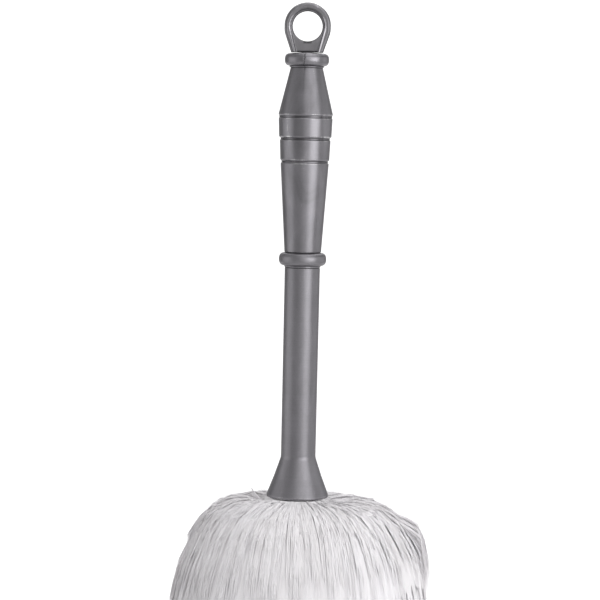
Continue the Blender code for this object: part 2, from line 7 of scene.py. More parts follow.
import bpy
import numpy as np
from mathutils import Matrix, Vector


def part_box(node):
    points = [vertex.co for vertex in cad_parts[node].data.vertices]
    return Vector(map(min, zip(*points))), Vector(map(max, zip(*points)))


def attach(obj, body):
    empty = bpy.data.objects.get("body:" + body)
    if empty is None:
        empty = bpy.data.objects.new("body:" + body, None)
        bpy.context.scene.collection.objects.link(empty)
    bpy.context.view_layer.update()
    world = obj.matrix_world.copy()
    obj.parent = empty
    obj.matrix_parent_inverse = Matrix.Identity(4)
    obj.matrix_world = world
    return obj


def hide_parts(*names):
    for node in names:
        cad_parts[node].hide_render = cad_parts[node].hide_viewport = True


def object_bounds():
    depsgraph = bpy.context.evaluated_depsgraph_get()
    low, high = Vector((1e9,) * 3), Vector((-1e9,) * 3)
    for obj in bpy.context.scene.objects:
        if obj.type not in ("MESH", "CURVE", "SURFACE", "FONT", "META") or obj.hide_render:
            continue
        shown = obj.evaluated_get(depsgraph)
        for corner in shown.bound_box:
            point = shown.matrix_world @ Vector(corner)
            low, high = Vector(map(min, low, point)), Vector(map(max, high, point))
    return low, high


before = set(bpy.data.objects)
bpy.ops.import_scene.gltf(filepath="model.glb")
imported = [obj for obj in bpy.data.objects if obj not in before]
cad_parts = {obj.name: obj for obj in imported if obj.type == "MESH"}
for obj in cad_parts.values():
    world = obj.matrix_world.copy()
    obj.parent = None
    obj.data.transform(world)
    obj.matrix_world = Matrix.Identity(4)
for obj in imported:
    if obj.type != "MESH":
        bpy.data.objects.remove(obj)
CAD_LOW, CAD_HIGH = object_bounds()

MM = 0.001
TAU = 2.0 * math.pi


def span(name):
    """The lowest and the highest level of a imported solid."""
    low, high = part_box(name)
    return low.z / MM, high.z / MM


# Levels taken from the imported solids
GRIP_END, COLLAR_TOP = span("grip")
RIM, SPIGOT_TOP = span("shaft")
STEM_END = span("hanging_loop")[0]
CORE_END, PLUG_TOP = span("head_core")
SOCKET_FOOT, SOCKET_TOP = span("head_socket")
WASHER_LOW = span("root_washer")[0]
CAP_LOW, CAP_TOP = span("tip_cap")

# Hanging loop
EYE_RADIUS = 8.9
EYE = -EYE_RADIUS
RIM_WIDTH = 3.5
LOOP_RADIUS = 13.8
LOOP_CROWN = 0.35
LOOP_STRETCH = 1.45
LOOP_HALF = 4.0
WEB_HALF = 1.5
FOOT_HALF_WIDTH = 9.6
RECESS_FOOT_HALF_WIDTH = 6.6
LOOP_FOOT = COLLAR_TOP + 0.1
STEM_RADIUS = 3.6
BARB_RADIUS = 4.7

# Grip and shaft
COLLAR_RADIUS = 13.25
COLLAR_HEIGHT = 8.15
COLLAR_FLOOR = 3.6
NECK_RADIUS = 9.5
CONE_LENGTH = 28.65
CONE_RADIUS = 16.35
GROOVE_WIDTH = 1.9
GROOVE_DEPTH = 0.45
WALL_UNDER_GROOVE = 2.9
UPPER_BAND_LENGTH = 11.7
LOWER_BAND_LENGTH = 11.8
UPPER_BAND_RADII = (16.15, 15.72)
LOWER_BAND_RADII = (15.2, 14.7)
LAST_GROOVE_RADIUS = 14.4
GROOVE_LEVELS = (1.5, 14.75, 28.05)
TAPER_TOP_RADIUS = 14.45
TAPER_END_RADIUS = 11.05
GRIP_WALL = 2.2
BEAD_RADIUS = 14.25
BEAD_HEIGHT = 8.4
SPIGOT_LENGTH = 26.0
FULLNESS = 2.55
TUBE_TOP_RADIUS = 10.60
TUBE_END_RADIUS = 10.48
FLARE_LENGTH = 24.0
FLARE_RADIUS = 18.7
SHAFT_WALL = 2.1
SPIGOT_RADIUS = 8.55

# Head
TAPE_RADIUS = 7.5
TURNS = 14
TURN_PITCH = 18.9
WINDING_TOP = CAP_TOP + TURNS * TURN_PITCH
LOCK_LIFT = 3.1
ROOT_RISE = 5.0
RISE_RUN = 8.0
DROOP = 52.0
DROOP_RADIUS = 79.0
DROOP_POWER = 5.5
HEAD_RADIUS = 85.0
TOP_REACH = 0.95
TIP_REACH = 0.36
WIDEST_TURN = 3.6
FALL_SLOPE = 1.95
FALL_POWER = 3.4
SWAY = 0.11
SWAY_CYCLES = (5, 11, 19, 31)
HANG_RADIUS = 75.0
HANG_RUN = 5.0
SEED = 410
BOLD_SHARE = 0.06
STRAY_FROM = 0.975
FIBRE_RADII = (0.09, 0.16)
LOOSE_TUFTS = 56
LOOSE_FIBRES = 45
FURROW = 1.6
BED_SUNK = 0.5
BED_THICKNESS = 1.5
LOCK_SHARE = 0.07


# Curves and points

def rising(value, start, width):
    """0 up to start, then evenly up to 1 over the width."""
    return np.clip((value - start) / width, 0.0, 1.0)


def falling(value, end, width):
    """1, then evenly down over the width to 0 at the end."""
    return np.clip((end - value) / width, 0.0, 1.0)


def hump(value, middle, width, power=2):
    """A smooth hump that is 1 at the middle: the exponential of minus a power of the distance
    over the width."""
    return np.exp(-((value - middle) / width) ** power)


def polar(r, angle, z):
    """Points (..., 3) at a radius, an angle round Z and a height."""
    return np.stack(np.broadcast_arrays(r * np.cos(angle), r * np.sin(angle), z), axis=-1)


def unit(vectors):
    """The vectors with their length made 1."""
    return vectors / np.maximum(np.linalg.norm(vectors, axis=-1, keepdims=True), 1e-9)


# Meshes

def mesh_object(name, shell, attributes=None):
    """An object with smooth faces from a shell: points (n, 3) in millimetres, quads (a, 4) and
    triangles (b, 3). attributes maps a name to one value for each point."""
    points, quads, triangles = shell
    mesh = bpy.data.meshes.new(name)
    mesh.vertices.add(len(points))
    mesh.vertices.foreach_set("co", (points * MM).astype(np.float32).ravel())
    corners = np.concatenate([quads.ravel(), triangles.ravel()]).astype(np.int32)
    starts = np.concatenate([np.arange(len(quads)) * 4, quads.size + np.arange(len(triangles)) * 3])
    mesh.loops.add(len(corners))
    mesh.loops.foreach_set("vertex_index", corners)
    mesh.polygons.add(len(starts))
    mesh.polygons.foreach_set("loop_start", starts.astype(np.int32))
    mesh.update(calc_edges=True)
    mesh.validate()
    mesh.polygons.foreach_set("use_smooth", np.ones(len(mesh.polygons), bool))
    for key, values in (attributes or {}).items():
        made = mesh.attributes.new(key, "FLOAT", "POINT")
        made.data.foreach_set("value", np.asarray(values, np.float32).ravel())
    item = bpy.data.objects.new(name, mesh)
    bpy.context.scene.collection.objects.link(item)
    return item


def grid_quads(rows, columns, wrap_rows):
    """Quads of a grid of rows by columns whose columns close on themselves, and its rows too if
    wrap_rows. Corner order: (i, j), (i, j + 1), (i + 1, j + 1), (i + 1, j)."""
    i = np.arange(rows if wrap_rows else rows - 1)[:, None]
    j = np.arange(columns)[None, :]
    below = (i + 1) % rows
    beside = (j + 1) % columns
    faces = np.stack([i * columns + j, i * columns + beside, below * columns + beside,
                      below * columns + j], axis=-1)
    return faces.reshape(-1, 4)


def ring_shell(grid):
    """A closed shell whose rows and columns both close: points and quads."""
    rows, columns = grid.shape[:2]
    return grid.reshape(-1, 3), grid_quads(rows, columns, True), np.zeros((0, 3), np.int32)


def capped_shell(grid):
    """A closed shell whose columns close and whose first and last rows are fanned to a middle."""
    rows, columns = grid.shape[:2]
    points = np.concatenate([grid.reshape(-1, 3), grid[0].mean(0)[None], grid[-1].mean(0)[None]])
    j = np.arange(columns)
    beside = (j + 1) % columns
    first = np.stack([beside, j, np.full(columns, rows * columns)], axis=-1)
    base = (rows - 1) * columns
    last = np.stack([base + j, base + beside, np.full(columns, rows * columns + 1)], axis=-1)
    return points, grid_quads(rows, columns, False), np.concatenate([first, last])


def volume(points, quads, triangles):
    """Signed volume: the sum over triangles of a . (b x c) / 6."""
    split = np.concatenate([quads[:, [0, 1, 2]], quads[:, [0, 2, 3]], triangles])
    a, b, c = points[split[:, 0]], points[split[:, 1]], points[split[:, 2]]
    return float(np.einsum("ij,ij->i", a, np.cross(b, c)).sum() / 6.0)


def outward(shell):
    """The shell with its faces turned outwards."""
    points, quads, triangles = shell
    if volume(points, quads, triangles) < 0.0:
        return points, quads[:, ::-1], triangles[:, ::-1]
    return shell


def joined(shells):
    """Several closed shells as one: points, quads and triangles."""
    points, quads, triangles = [], [], []
    count = 0
    for own_points, own_quads, own_triangles in map(outward, shells):
        points.append(own_points)
        quads.append(own_quads + count)
        triangles.append(own_triangles + count)
        count += len(own_points)
    return np.concatenate(points), np.concatenate(quads), np.concatenate(triangles)


# Turned pieces

def fillet(before, corner, after, radius, count):
    """Points of the arc of that radius that touches both sides of a corner, in the plane."""
    one, two = before - corner, after - corner
    one_length, two_length = np.linalg.norm(one), np.linalg.norm(two)
    one, two = one / one_length, two / two_length
    half = math.acos(max(-1.0, min(1.0, float(one @ two)))) / 2.0
    reach = min(radius / math.tan(half), 0.48 * one_length, 0.48 * two_length)
    radius = reach * math.tan(half)
    middle = corner + (one + two) / np.linalg.norm(one + two) * radius / math.sin(half)
    start, end = corner + one * reach - middle, corner + two * reach - middle
    sweep = math.pi - 2.0 * half
    share = np.linspace(0.0, 1.0, count)[:, None]
    blend = (np.sin((1.0 - share) * sweep) * start + np.sin(share * sweep) * end) / math.sin(sweep)
    return middle + blend


ROUNDING = 1e-9


def run_between(a, b, step):
    """Points strictly between a and b: one close to each end and the rest no further apart than
    step, so that smooth shading stays flat along a straight run. ROUNDING makes a run of a whole
    number of steps count as a little longer."""
    length = float(np.linalg.norm(b - a))
    if length < 0.5:
        return np.zeros((0, 2))
    near = min(0.2, 0.2 * length)
    count = max(2, int(math.ceil((length - 2 * near) / step + ROUNDING)) + 1)
    share = np.linspace(near, length - near, count)[:, None] / length
    return a + (b - a) * share


def profile(corners, step=1.6):
    """A closed section line through (r, z, fillet radius) corners, with an edge value for each
    point that is 1 on a small rounding which stands out and 0 elsewhere."""
    place = np.array([(r, z) for r, z, _ in corners])
    pieces, edges = [], []
    for i, (_, _, radius) in enumerate(corners):
        before, after = place[i - 1], place[(i + 1) % len(corners)]
        if radius > 0.0:
            count = 5 if radius < 1.2 else 13
            pieces.append(fillet(before, place[i], after, radius, count))
        else:
            pieces.append(place[i][None])
        turn = np.cross(place[i] - before, after - place[i])
        stands_out = turn < 0.0 and 0.0 < radius < 1.2
        edges.append(np.full(len(pieces[-1]), 1.0 if stands_out else 0.0))
    line, marks = [], []
    for i, piece in enumerate(pieces):
        line.append(piece)
        marks.append(edges[i])
        between = run_between(piece[-1], pieces[(i + 1) % len(pieces)][0], step)
        line.append(between)
        marks.append(np.zeros(len(between)))
    return np.concatenate(line), np.concatenate(marks)


def full_round(radius, top, low, bulge):
    """Corners down a bead: half of a superellipse of power FULLNESS from its top to its bottom,
    which stands out by bulge."""
    reach = (top - low) / 2.0
    turn = np.linspace(90.0, -90.0, 41) * math.pi / 180.0
    out, up = np.cos(turn), np.sin(turn)
    size = (np.abs(out) ** FULLNESS + np.abs(up) ** FULLNESS) ** (1.0 / FULLNESS)
    r = radius - bulge + bulge * out / size
    z = (top + low) / 2.0 + reach * up / size
    return [(float(a), float(b), 0.0) for a, b in zip(r, z)]


def turned(line, angles):
    """A section line (n, 2) turned round Z: row i holds radius and height i at every angle."""
    return polar(line[:, 0:1], angles, line[:, 1:2])


def even_angles(count):
    """Angles spaced evenly round a turn."""
    return np.arange(count) * TAU / count


def turned_piece(name, corners, angles, shape=None, step=1.6):
    """A hollow turned object. shape, if given, moves the grid's points for moulding detail and
    says where they are painted darker, mostly as painted shade."""
    line, edge = profile(corners, step)
    grid = turned(line, angles)
    marks = {"edge": np.repeat(edge, len(angles))}
    if shape is not None:
        # the dark mark: mostly painted shade
        grid, marks["painted_shade_and_marks"] = shape(grid, line, angles)
    return mesh_object(name, outward(ring_shell(grid)), marks)


SEAM_ANGLE = math.radians(-90.0 - 6.8)
SEAM_DEPTH = 0.22
SEAM_STEP = 0.1


def grip_angles():
    """Even angles, and close ones where the moulding line runs."""
    close = SEAM_ANGLE + np.linspace(-0.09, 0.09, 25)
    even = even_angles(140) - math.pi
    even = even[np.abs(even - SEAM_ANGLE) > 0.1]
    return np.sort(np.concatenate([even, close]))


def moulding_line(grid, line, angles):
    """Cut a fine, jagged moulding line into the collar: a shallow groove whose place wanders with
    height, and a step of a tenth of a millimetre between its two sides that dies out round the
    collar. Below the collar the step alone goes on a little way and fades. The marks darken
    that groove, the ring and the crease under the collar and the grip's three grooves as painted
    shade, and a strip on one side of the groove a little."""
    r, z = line[:, 0:1], line[:, 1:2]
    outer = r > NECK_RADIUS - 0.5
    below = (COLLAR_TOP - z) / COLLAR_HEIGHT
    wander = 0.18 * np.tanh((below - 0.42) * 14.0) - 0.14 * np.sin(below * 19.0)
    wander += 0.12 * np.sin(below * 41.0 + 1.0)
    shift = np.where(below < 1.15, wander, 0.3)
    around = (angles - SEAM_ANGLE)[None, :] * np.maximum(r, 1.0) + shift
    strength = falling(below, 1.25, 0.12) * outer
    # the groove is both the cut's shape and painted shade inside it
    groove = hump(around, 0.0, 0.3) * strength
    step = np.clip(around / 0.25, -1.0, 1.0) * hump(around, 0.0, 3.5) * falling(below, 3.2, 2.2)
    cut = SEAM_STEP / 2.0 * step * outer - SEAM_DEPTH * groove
    # a strip on one side of the groove is painted darker
    one_side_dark = np.where(around < 0.0, 0.28, 0.0) * hump(around, 0.0, 2.2) * strength

    # painted shade: dulls the ring under the collar, darkens the crease below it and darkens the grip's
    # three grooves
    under = z - (COLLAR_TOP - COLLAR_HEIGHT)
    ring = np.maximum(0.3 * hump(under, -0.3, 0.35, 4), hump(under, -0.93, 0.28, 4))
    for level in GROOVE_LEVELS:
        ring = np.maximum(ring, 0.6 * hump(under, -CONE_LENGTH - level, 0.75, 4))
    marks = np.maximum(np.maximum(groove, one_side_dark), ring * outer)
    return grid + cut[..., None] * polar(1.0, angles, 0.0), marks


def bead_shade(grid, line, angles):
    """Painted shade in the groove under the bead."""
    under = line[:, 1:2] - (SPIGOT_TOP - SPIGOT_LENGTH - BEAD_HEIGHT)
    shade = hump(under, -0.55, 0.28, 4) * (line[:, 0:1] > TUBE_END_RADIUS - 1.0)
    return grid, np.repeat(shade, len(angles), axis=1)


def grip_corners():
    """The grip's section: collar, neck, cone, grooves, bands and taper, and back up its inside."""
    collar_low = COLLAR_TOP - COLLAR_HEIGHT
    cone_low = collar_low - CONE_LENGTH
    upper_top = cone_low - GROOVE_WIDTH
    upper_low = upper_top - UPPER_BAND_LENGTH
    lower_top = upper_low - GROOVE_WIDTH
    lower_low = lower_top - LOWER_BAND_LENGTH
    taper_top = lower_low - GROOVE_WIDTH
    stem_hole = STEM_RADIUS + 0.3
    bore = TAPER_END_RADIUS - GRIP_WALL
    bore_top = GRIP_END + SPIGOT_LENGTH + 0.3
    wall = WALL_UNDER_GROOVE
    taper_share = (bore_top - GRIP_END) / (taper_top - GRIP_END)
    radius_there = TAPER_END_RADIUS + (TAPER_TOP_RADIUS - TAPER_END_RADIUS) * taper_share
    return [
        (stem_hole, COLLAR_TOP, 0.3),
        *full_round(COLLAR_RADIUS, COLLAR_TOP - 0.45, collar_low + 0.1, 3.6),
        (NECK_RADIUS + 0.95, collar_low - 0.05, 0.15),
        (NECK_RADIUS + 0.85, collar_low - 0.6, 0.25),
        (NECK_RADIUS + 0.15, collar_low - 0.75, 0.15),
        (NECK_RADIUS + 0.2, collar_low - 1.1, 0.2),
        (CONE_RADIUS, cone_low - 0.15, 0.6),
        (CONE_RADIUS - GROOVE_DEPTH, cone_low - 0.7, 0.3),
        (CONE_RADIUS - GROOVE_DEPTH - 0.1, upper_top - 0.2, 0.3),
        (UPPER_BAND_RADII[0], upper_top - 0.6, 0.45),
        (UPPER_BAND_RADII[1], upper_low + 0.1, 1.0),
        (LOWER_BAND_RADII[0] - GROOVE_DEPTH, upper_low - 0.55, 0.3),
        (LOWER_BAND_RADII[0] - GROOVE_DEPTH, lower_top + 0.3, 0.3),
        (LOWER_BAND_RADII[0], lower_top - 0.1, 0.45),
        (LOWER_BAND_RADII[1], lower_low + 0.1, 1.0),
        (LAST_GROOVE_RADIUS - GROOVE_DEPTH, lower_low - 0.55, 0.3),
        (LAST_GROOVE_RADIUS - GROOVE_DEPTH, taper_top + 0.3, 0.3),
        (TAPER_TOP_RADIUS, taper_top - 0.1, 0.45),
        (TAPER_END_RADIUS, GRIP_END, 0.35),
        (bore, GRIP_END, 0.3),
        (bore, bore_top, 0.0),
        (radius_there - GRIP_WALL, bore_top + 1.0, 0.0),
        (TAPER_TOP_RADIUS - wall, taper_top, 0.0),
        (CONE_RADIUS - wall, cone_low, 0.0),
        (NECK_RADIUS - GRIP_WALL, collar_low, 0.0),
        (NECK_RADIUS - GRIP_WALL, COLLAR_TOP - COLLAR_FLOOR, 0.0),
        (stem_hole, COLLAR_TOP - COLLAR_FLOOR, 0.2),
    ]


def shaft_corners():
    """The shaft's section: spigot, bead, tube, flare and lip, and back up its inside."""
    bead_top = SPIGOT_TOP - SPIGOT_LENGTH
    bead_low = bead_top - BEAD_HEIGHT
    flare_top = RIM + FLARE_LENGTH
    bore = TUBE_END_RADIUS - SHAFT_WALL
    spigot_bore = SPIGOT_RADIUS - SHAFT_WALL
    return [
        (SPIGOT_RADIUS, SPIGOT_TOP, 0.9),
        (SPIGOT_RADIUS, bead_top, 0.0),
        *full_round(BEAD_RADIUS, bead_top, bead_low + 0.5, 3.8),
        (TUBE_TOP_RADIUS + 0.35, bead_low + 0.4, 0.15),
        (TUBE_TOP_RADIUS + 0.3, bead_low - 0.25, 0.2),
        (TUBE_TOP_RADIUS - 0.2, bead_low - 0.35, 0.1),
        (TUBE_TOP_RADIUS - 0.2, bead_low - 0.75, 0.15),
        (TUBE_TOP_RADIUS, bead_low - 1.0, 0.2),
        (TUBE_END_RADIUS, flare_top, 9.0),
        (14.5, RIM + 12.2, 18.0),
        (FLARE_RADIUS - 0.2, RIM + 1.8, 0.5),
        (FLARE_RADIUS, RIM + 1.3, 0.3),
        (FLARE_RADIUS, RIM, 0.55),
        (FLARE_RADIUS - SHAFT_WALL, RIM, 0.4),
        (bore, flare_top, 4.0),
        (bore, bead_low, 0.5),
        (spigot_bore, bead_top, 0.5),
        (spigot_bore, SPIGOT_TOP, 0.4),
    ]


def socket_corners():
    """The bush in the tube's end, which holds the head's plug."""
    radius = TUBE_END_RADIUS - SHAFT_WALL - 0.3
    bore = radius - 2.8
    flare_top = RIM + FLARE_LENGTH
    share = (flare_top - SOCKET_FOOT) / FLARE_LENGTH
    inside = TUBE_END_RADIUS - SHAFT_WALL
    foot = inside + (FLARE_RADIUS - TUBE_END_RADIUS) * share - 0.45
    return [
        (radius, SOCKET_TOP, 0.7),
        (radius, flare_top, 0.0),
        (foot, SOCKET_FOOT, 0.3),
        (bore, SOCKET_FOOT, 0.8),
        (bore, SOCKET_TOP, 0.4),
    ]


def washer_corners():
    """The dished disc over the winding."""
    inner = TAPE_RADIUS - 1.7
    top = WASHER_LOW + 1.5
    dish = 2.6
    outer = 12.5
    return [
        (inner, top, 0.2),
        (TAPE_RADIUS, top, 0.5),
        (outer, top + dish, 0.3),
        (outer, WASHER_LOW + dish + 0.5, 0.3),
        (TAPE_RADIUS, WASHER_LOW, 0.5),
        (inner, WASHER_LOW, 0.2),
    ]


def solid_turned(name, corners, count):
    """A turned object whose section starts and ends on the axis, where small fans close it."""
    line, edge = profile(corners)
    keep = line[:, 0] > 0.02
    marks = np.concatenate([np.repeat(edge[keep], count), np.zeros(2)])
    shell = outward(capped_shell(turned(line[keep], even_angles(count))))
    return mesh_object(name, shell, {"edge": marks})


def core_corners():
    """The head's rod: plug with a lead-in, stop flange, and the tube up which the winding runs."""
    plug = TUBE_END_RADIUS - SHAFT_WALL - 3.4
    flange_top = SOCKET_FOOT - 0.3
    flange = 8.6
    core = 5.5
    bore = 3.5
    roof = PLUG_TOP - 4.0
    return [
        (0.0, PLUG_TOP, 0.0),
        (plug - 0.9, PLUG_TOP, 0.4),
        (plug, PLUG_TOP - 2.0, 0.8),
        (plug, flange_top, 0.3),
        (flange, flange_top, 0.5),
        (flange, flange_top - 3.0, 0.5),
        (core, flange_top - 3.0, 0.5),
        (core, CORE_END, 0.3),
        (bore, CORE_END, 0.3),
        (bore, roof, 0.6),
        (0.0, roof, 0.0),
    ]


def cap_corners():
    """The rounded cap on the rod's lower end."""
    inner = TAPE_RADIUS - 1.7
    outer = inner + 2.6
    floor = CAP_LOW + 3.5
    return [
        (0.0, floor, 0.0),
        (inner, floor, 0.3),
        (inner, CAP_TOP, 0.3),
        (outer, CAP_TOP, 0.6),
        (outer, CAP_LOW + 1.4, 3.6),
        (0.62 * outer, CAP_LOW + 0.1, 3.0),
        (0.0, CAP_LOW, 0.0),
    ]


# Hanging loop

# Start and length of each run of half a keyhole outline: the side, the lower arc, the rise and the arch
KEYHOLE_RUNS = ((0.0, 0.2), (0.2, 0.05), (0.25, 0.03), (0.28, 0.22))


def keyhole_point(share, radius, upper, lower, foot_half_width, foot):
    """A point on a keyhole outline at each share from 0, the right foot, to 1, the left foot: up
    a straight side, round the lower circle, up a short upright run, over the upper half circle,
    and down again in the mirror's way."""
    drop = lower - foot
    reach = math.hypot(foot_half_width, drop)
    lean = math.asin(radius / reach) - math.atan2(foot_half_width, drop)
    along = np.minimum(share, 1.0 - share)
    begin = np.array([foot_half_width, foot])
    touch = np.array([radius * math.cos(lean), lower - radius * math.sin(lean)])
    climb, bend, rise, arch = (rising(along, start, length) for start, length in KEYHOLE_RUNS)
    low_turn = lean * (1.0 - bend)
    high_turn = math.pi / 2.0 * arch
    on_side, on_arch = along < KEYHOLE_RUNS[1][0], along > KEYHOLE_RUNS[3][0]
    x = np.where(on_side, begin[0] + (touch[0] - begin[0]) * climb, radius * np.cos(low_turn))
    x = np.where(on_arch, radius * np.cos(high_turn), x)
    z = np.where(on_side, begin[1] + (touch[1] - begin[1]) * climb,
                 lower + (upper - lower) * rise - radius * np.sin(low_turn))
    z = np.where(on_arch, upper + radius * np.sin(high_turn), z)
    return np.stack([np.where(share > 0.5, -x, x), z], axis=-1)


def loop_outline(share):
    """The loop's outer outline."""
    upper = EYE + LOOP_CROWN
    return keyhole_point(share, LOOP_RADIUS, upper, upper - LOOP_STRETCH, FOOT_HALF_WIDTH, LOOP_FOOT)


def recess_outline(share, spread=0.0):
    """The outline of the recess inside the rim, made wider by spread."""
    return keyhole_point(share, LOOP_RADIUS - RIM_WIDTH + spread, EYE, EYE,
                         RECESS_FOOT_HALF_WIDTH + spread, LOOP_FOOT)


def rim_section(width):
    """The rim's section as (offset from its inner edge, height from the middle plane): a small
    hollow out of the web, a steep wall, a round shoulder, a face with a shallow hollow along its
    middle and a round outer edge. width is the rim's width at that place."""
    wall = np.array([(-0.85, 0.0), (-0.85, 1.35), (-0.62, 1.50), (-0.40, 1.56), (-0.22, 1.70),
                     (-0.12, 1.95), (-0.06, 2.25)])
    bend = np.linspace(180.0, 90.0, 10) * math.pi / 180.0
    shoulder = 0.85
    inner = np.stack([shoulder + shoulder * np.cos(bend), 3.1 + shoulder * np.sin(bend)], axis=-1)
    outer_round = 1.75
    start, end = 0.92, width - outer_round - 0.05
    crown = np.linspace(0.0, 1.0, 5)
    face = np.stack([start + (end - start) * crown, (3.97 - 0.03 * np.sin(crown * math.pi))], axis=-1)
    turn = np.linspace(88.0, 0.0, 9) * math.pi / 180.0
    outer = np.stack([width - outer_round + outer_round * np.cos(turn),
                      LOOP_HALF - outer_round + outer_round * np.sin(turn)], axis=-1)
    flank = np.array([(width, 1.6), (width, 0.0)])
    half = np.concatenate([wall, inner, face, outer, flank])
    back = half[-2:0:-1] * np.array([1.0, -1.0])
    return np.concatenate([half, back])


def rim_shell():
    """The proud rim: its section carried along the keyhole from one foot to the other. The inner
    edge runs on the recess's outline and the outer edge on the loop's outline."""
    share = np.linspace(0.0, 1.0, 201)
    outer = loop_outline(share)
    inner = recess_outline(share)
    across = outer - inner
    width = np.linalg.norm(across, axis=1)
    across = across / width[:, None]
    grid = []
    for start, direction, breadth in zip(inner, across, width):
        section = rim_section(breadth)
        flat = start + section[:, 0:1] * direction
        grid.append(np.stack([flat[:, 0], section[:, 1], flat[:, 1]], axis=-1))
    return capped_shell(np.array(grid))


def web_reach(angles):
    """How far the web goes from the eye's middle at each angle: to just inside the rim, and
    towards the foot to the arched edge over the collar."""
    share = np.linspace(0.0, 1.0, 721)
    sides = recess_outline(share, 0.8)
    x = np.linspace(-1.0, 1.0, 161)[1:-1] * (RECESS_FOOT_HALF_WIDTH + 0.8)
    arch = LOOP_FOOT + (0.02 + 0.43 * (1.0 - (x / 8.2) ** 2))
    outline = np.concatenate([sides, np.stack([x, arch], axis=-1)])
    away = outline - np.array([0.0, EYE])
    at = np.mod(np.arctan2(away[:, 1], away[:, 0]), TAU)
    order = np.argsort(at)
    return np.interp(np.mod(angles, TAU), at[order], np.linalg.norm(away, axis=1)[order], period=TAU)


def web_shell():
    """The flat web round the eye: at each angle round the hole its section goes from the hole's
    rounded wall out to the web's edge, on both faces."""
    angles = even_angles(216)
    reach = web_reach(angles)
    lip = ((0.0, 0.0), (0.0, 0.9), (0.05, 1.2), (0.17, 1.4), (0.38, 1.5))
    rows = [(EYE_RADIUS + gap + 0.0 * reach, height) for gap, height in lip]
    for share in np.linspace(0.15, 1.0, 8):
        rows.append((EYE_RADIUS + (reach - EYE_RADIUS) * share, WEB_HALF))
    rows += [(reach, 0.75 * WEB_HALF), (reach, 0.0)]
    rows += [(distance, -height) for distance, height in rows[-2:0:-1]]
    grid = [polar(distance, angles, height)[:, [0, 2, 1]] for distance, height in rows]
    return ring_shell(np.array(grid) + np.array([0.0, 0.0, EYE]))


def rounded_box(half_x, half_y, high, low, round_off):
    """A post with a rounded rectangular section, from high to low."""
    turn = polar(1.0, even_angles(40), 0.0)
    section = np.sign(turn) * np.abs(turn) ** 0.25 * np.array([half_x, half_y, 0.0])
    small = 1.0 - round_off / half_y
    ends = ((high, small), (high - round_off, 1.0), (low + round_off, 1.0), (low, small))
    grid = [section * scale + np.array([0.0, 0.0, level]) for level, scale in ends]
    return capped_shell(np.array(grid))


def stem_shells():
    """The stem with its snap head, which is split by a slot into two springy halves. Each half's
    section is a round cut off by the slot's face."""
    top = COLLAR_TOP - 0.3
    barb_top = COLLAR_TOP - COLLAR_FLOOR - 0.3
    slot_top = barb_top + COLLAR_FLOOR / 2 - 2.0
    slot_half = 0.8
    line = np.array([(0.9 * STEM_RADIUS, top), (STEM_RADIUS, top - 0.3), (STEM_RADIUS, slot_top),
                     (STEM_RADIUS, slot_top - 0.02)])
    shells = [capped_shell(turned(line, even_angles(64)))]
    half = [(STEM_RADIUS - 0.02, slot_top + 0.1), (STEM_RADIUS - 0.02, barb_top + 0.02),
            (BARB_RADIUS, barb_top - 0.15), (BARB_RADIUS, barb_top - 1.2), (2.6, STEM_END + 0.4),
            (2.3, STEM_END)]
    for side in (-1.0, 1.0):
        grid = []
        for radius, level in half:
            limit = math.acos(slot_half / radius)
            section = polar(radius, np.linspace(-limit, limit, 33), level)
            grid.append(section * np.array([side, 1.0, 1.0]))
        shells.append(capped_shell(np.array(grid)))
    return shells


def panel_shell():
    """The thin wall under the web's arched edge, which closes the space between the rim's feet."""
    half_x, half_y = RECESS_FOOT_HALF_WIDTH + 0.3, 0.6
    high, low = LOOP_FOOT + 1.4, LOOP_FOOT
    corners = np.array([(-half_x, -half_y), (half_x, -half_y), (half_x, half_y), (-half_x, half_y)])
    levels = np.array([low, (low + high) / 2.0, high])
    grid = np.empty((3, 4, 3))
    grid[..., :2] = corners[None]
    grid[..., 2] = levels[:, None]
    return capped_shell(grid)


def gap_to(flat, outline):
    """The distance from each flat point (n, 2) to the nearest point of an outline."""
    gap = np.empty(len(flat))
    chunk = 2000
    for i in range(0, len(flat), chunk):
        away = flat[i:i + chunk, None] - outline[None]
        gap[i:i + chunk] = np.linalg.norm(away, axis=-1).min(1)
    return gap


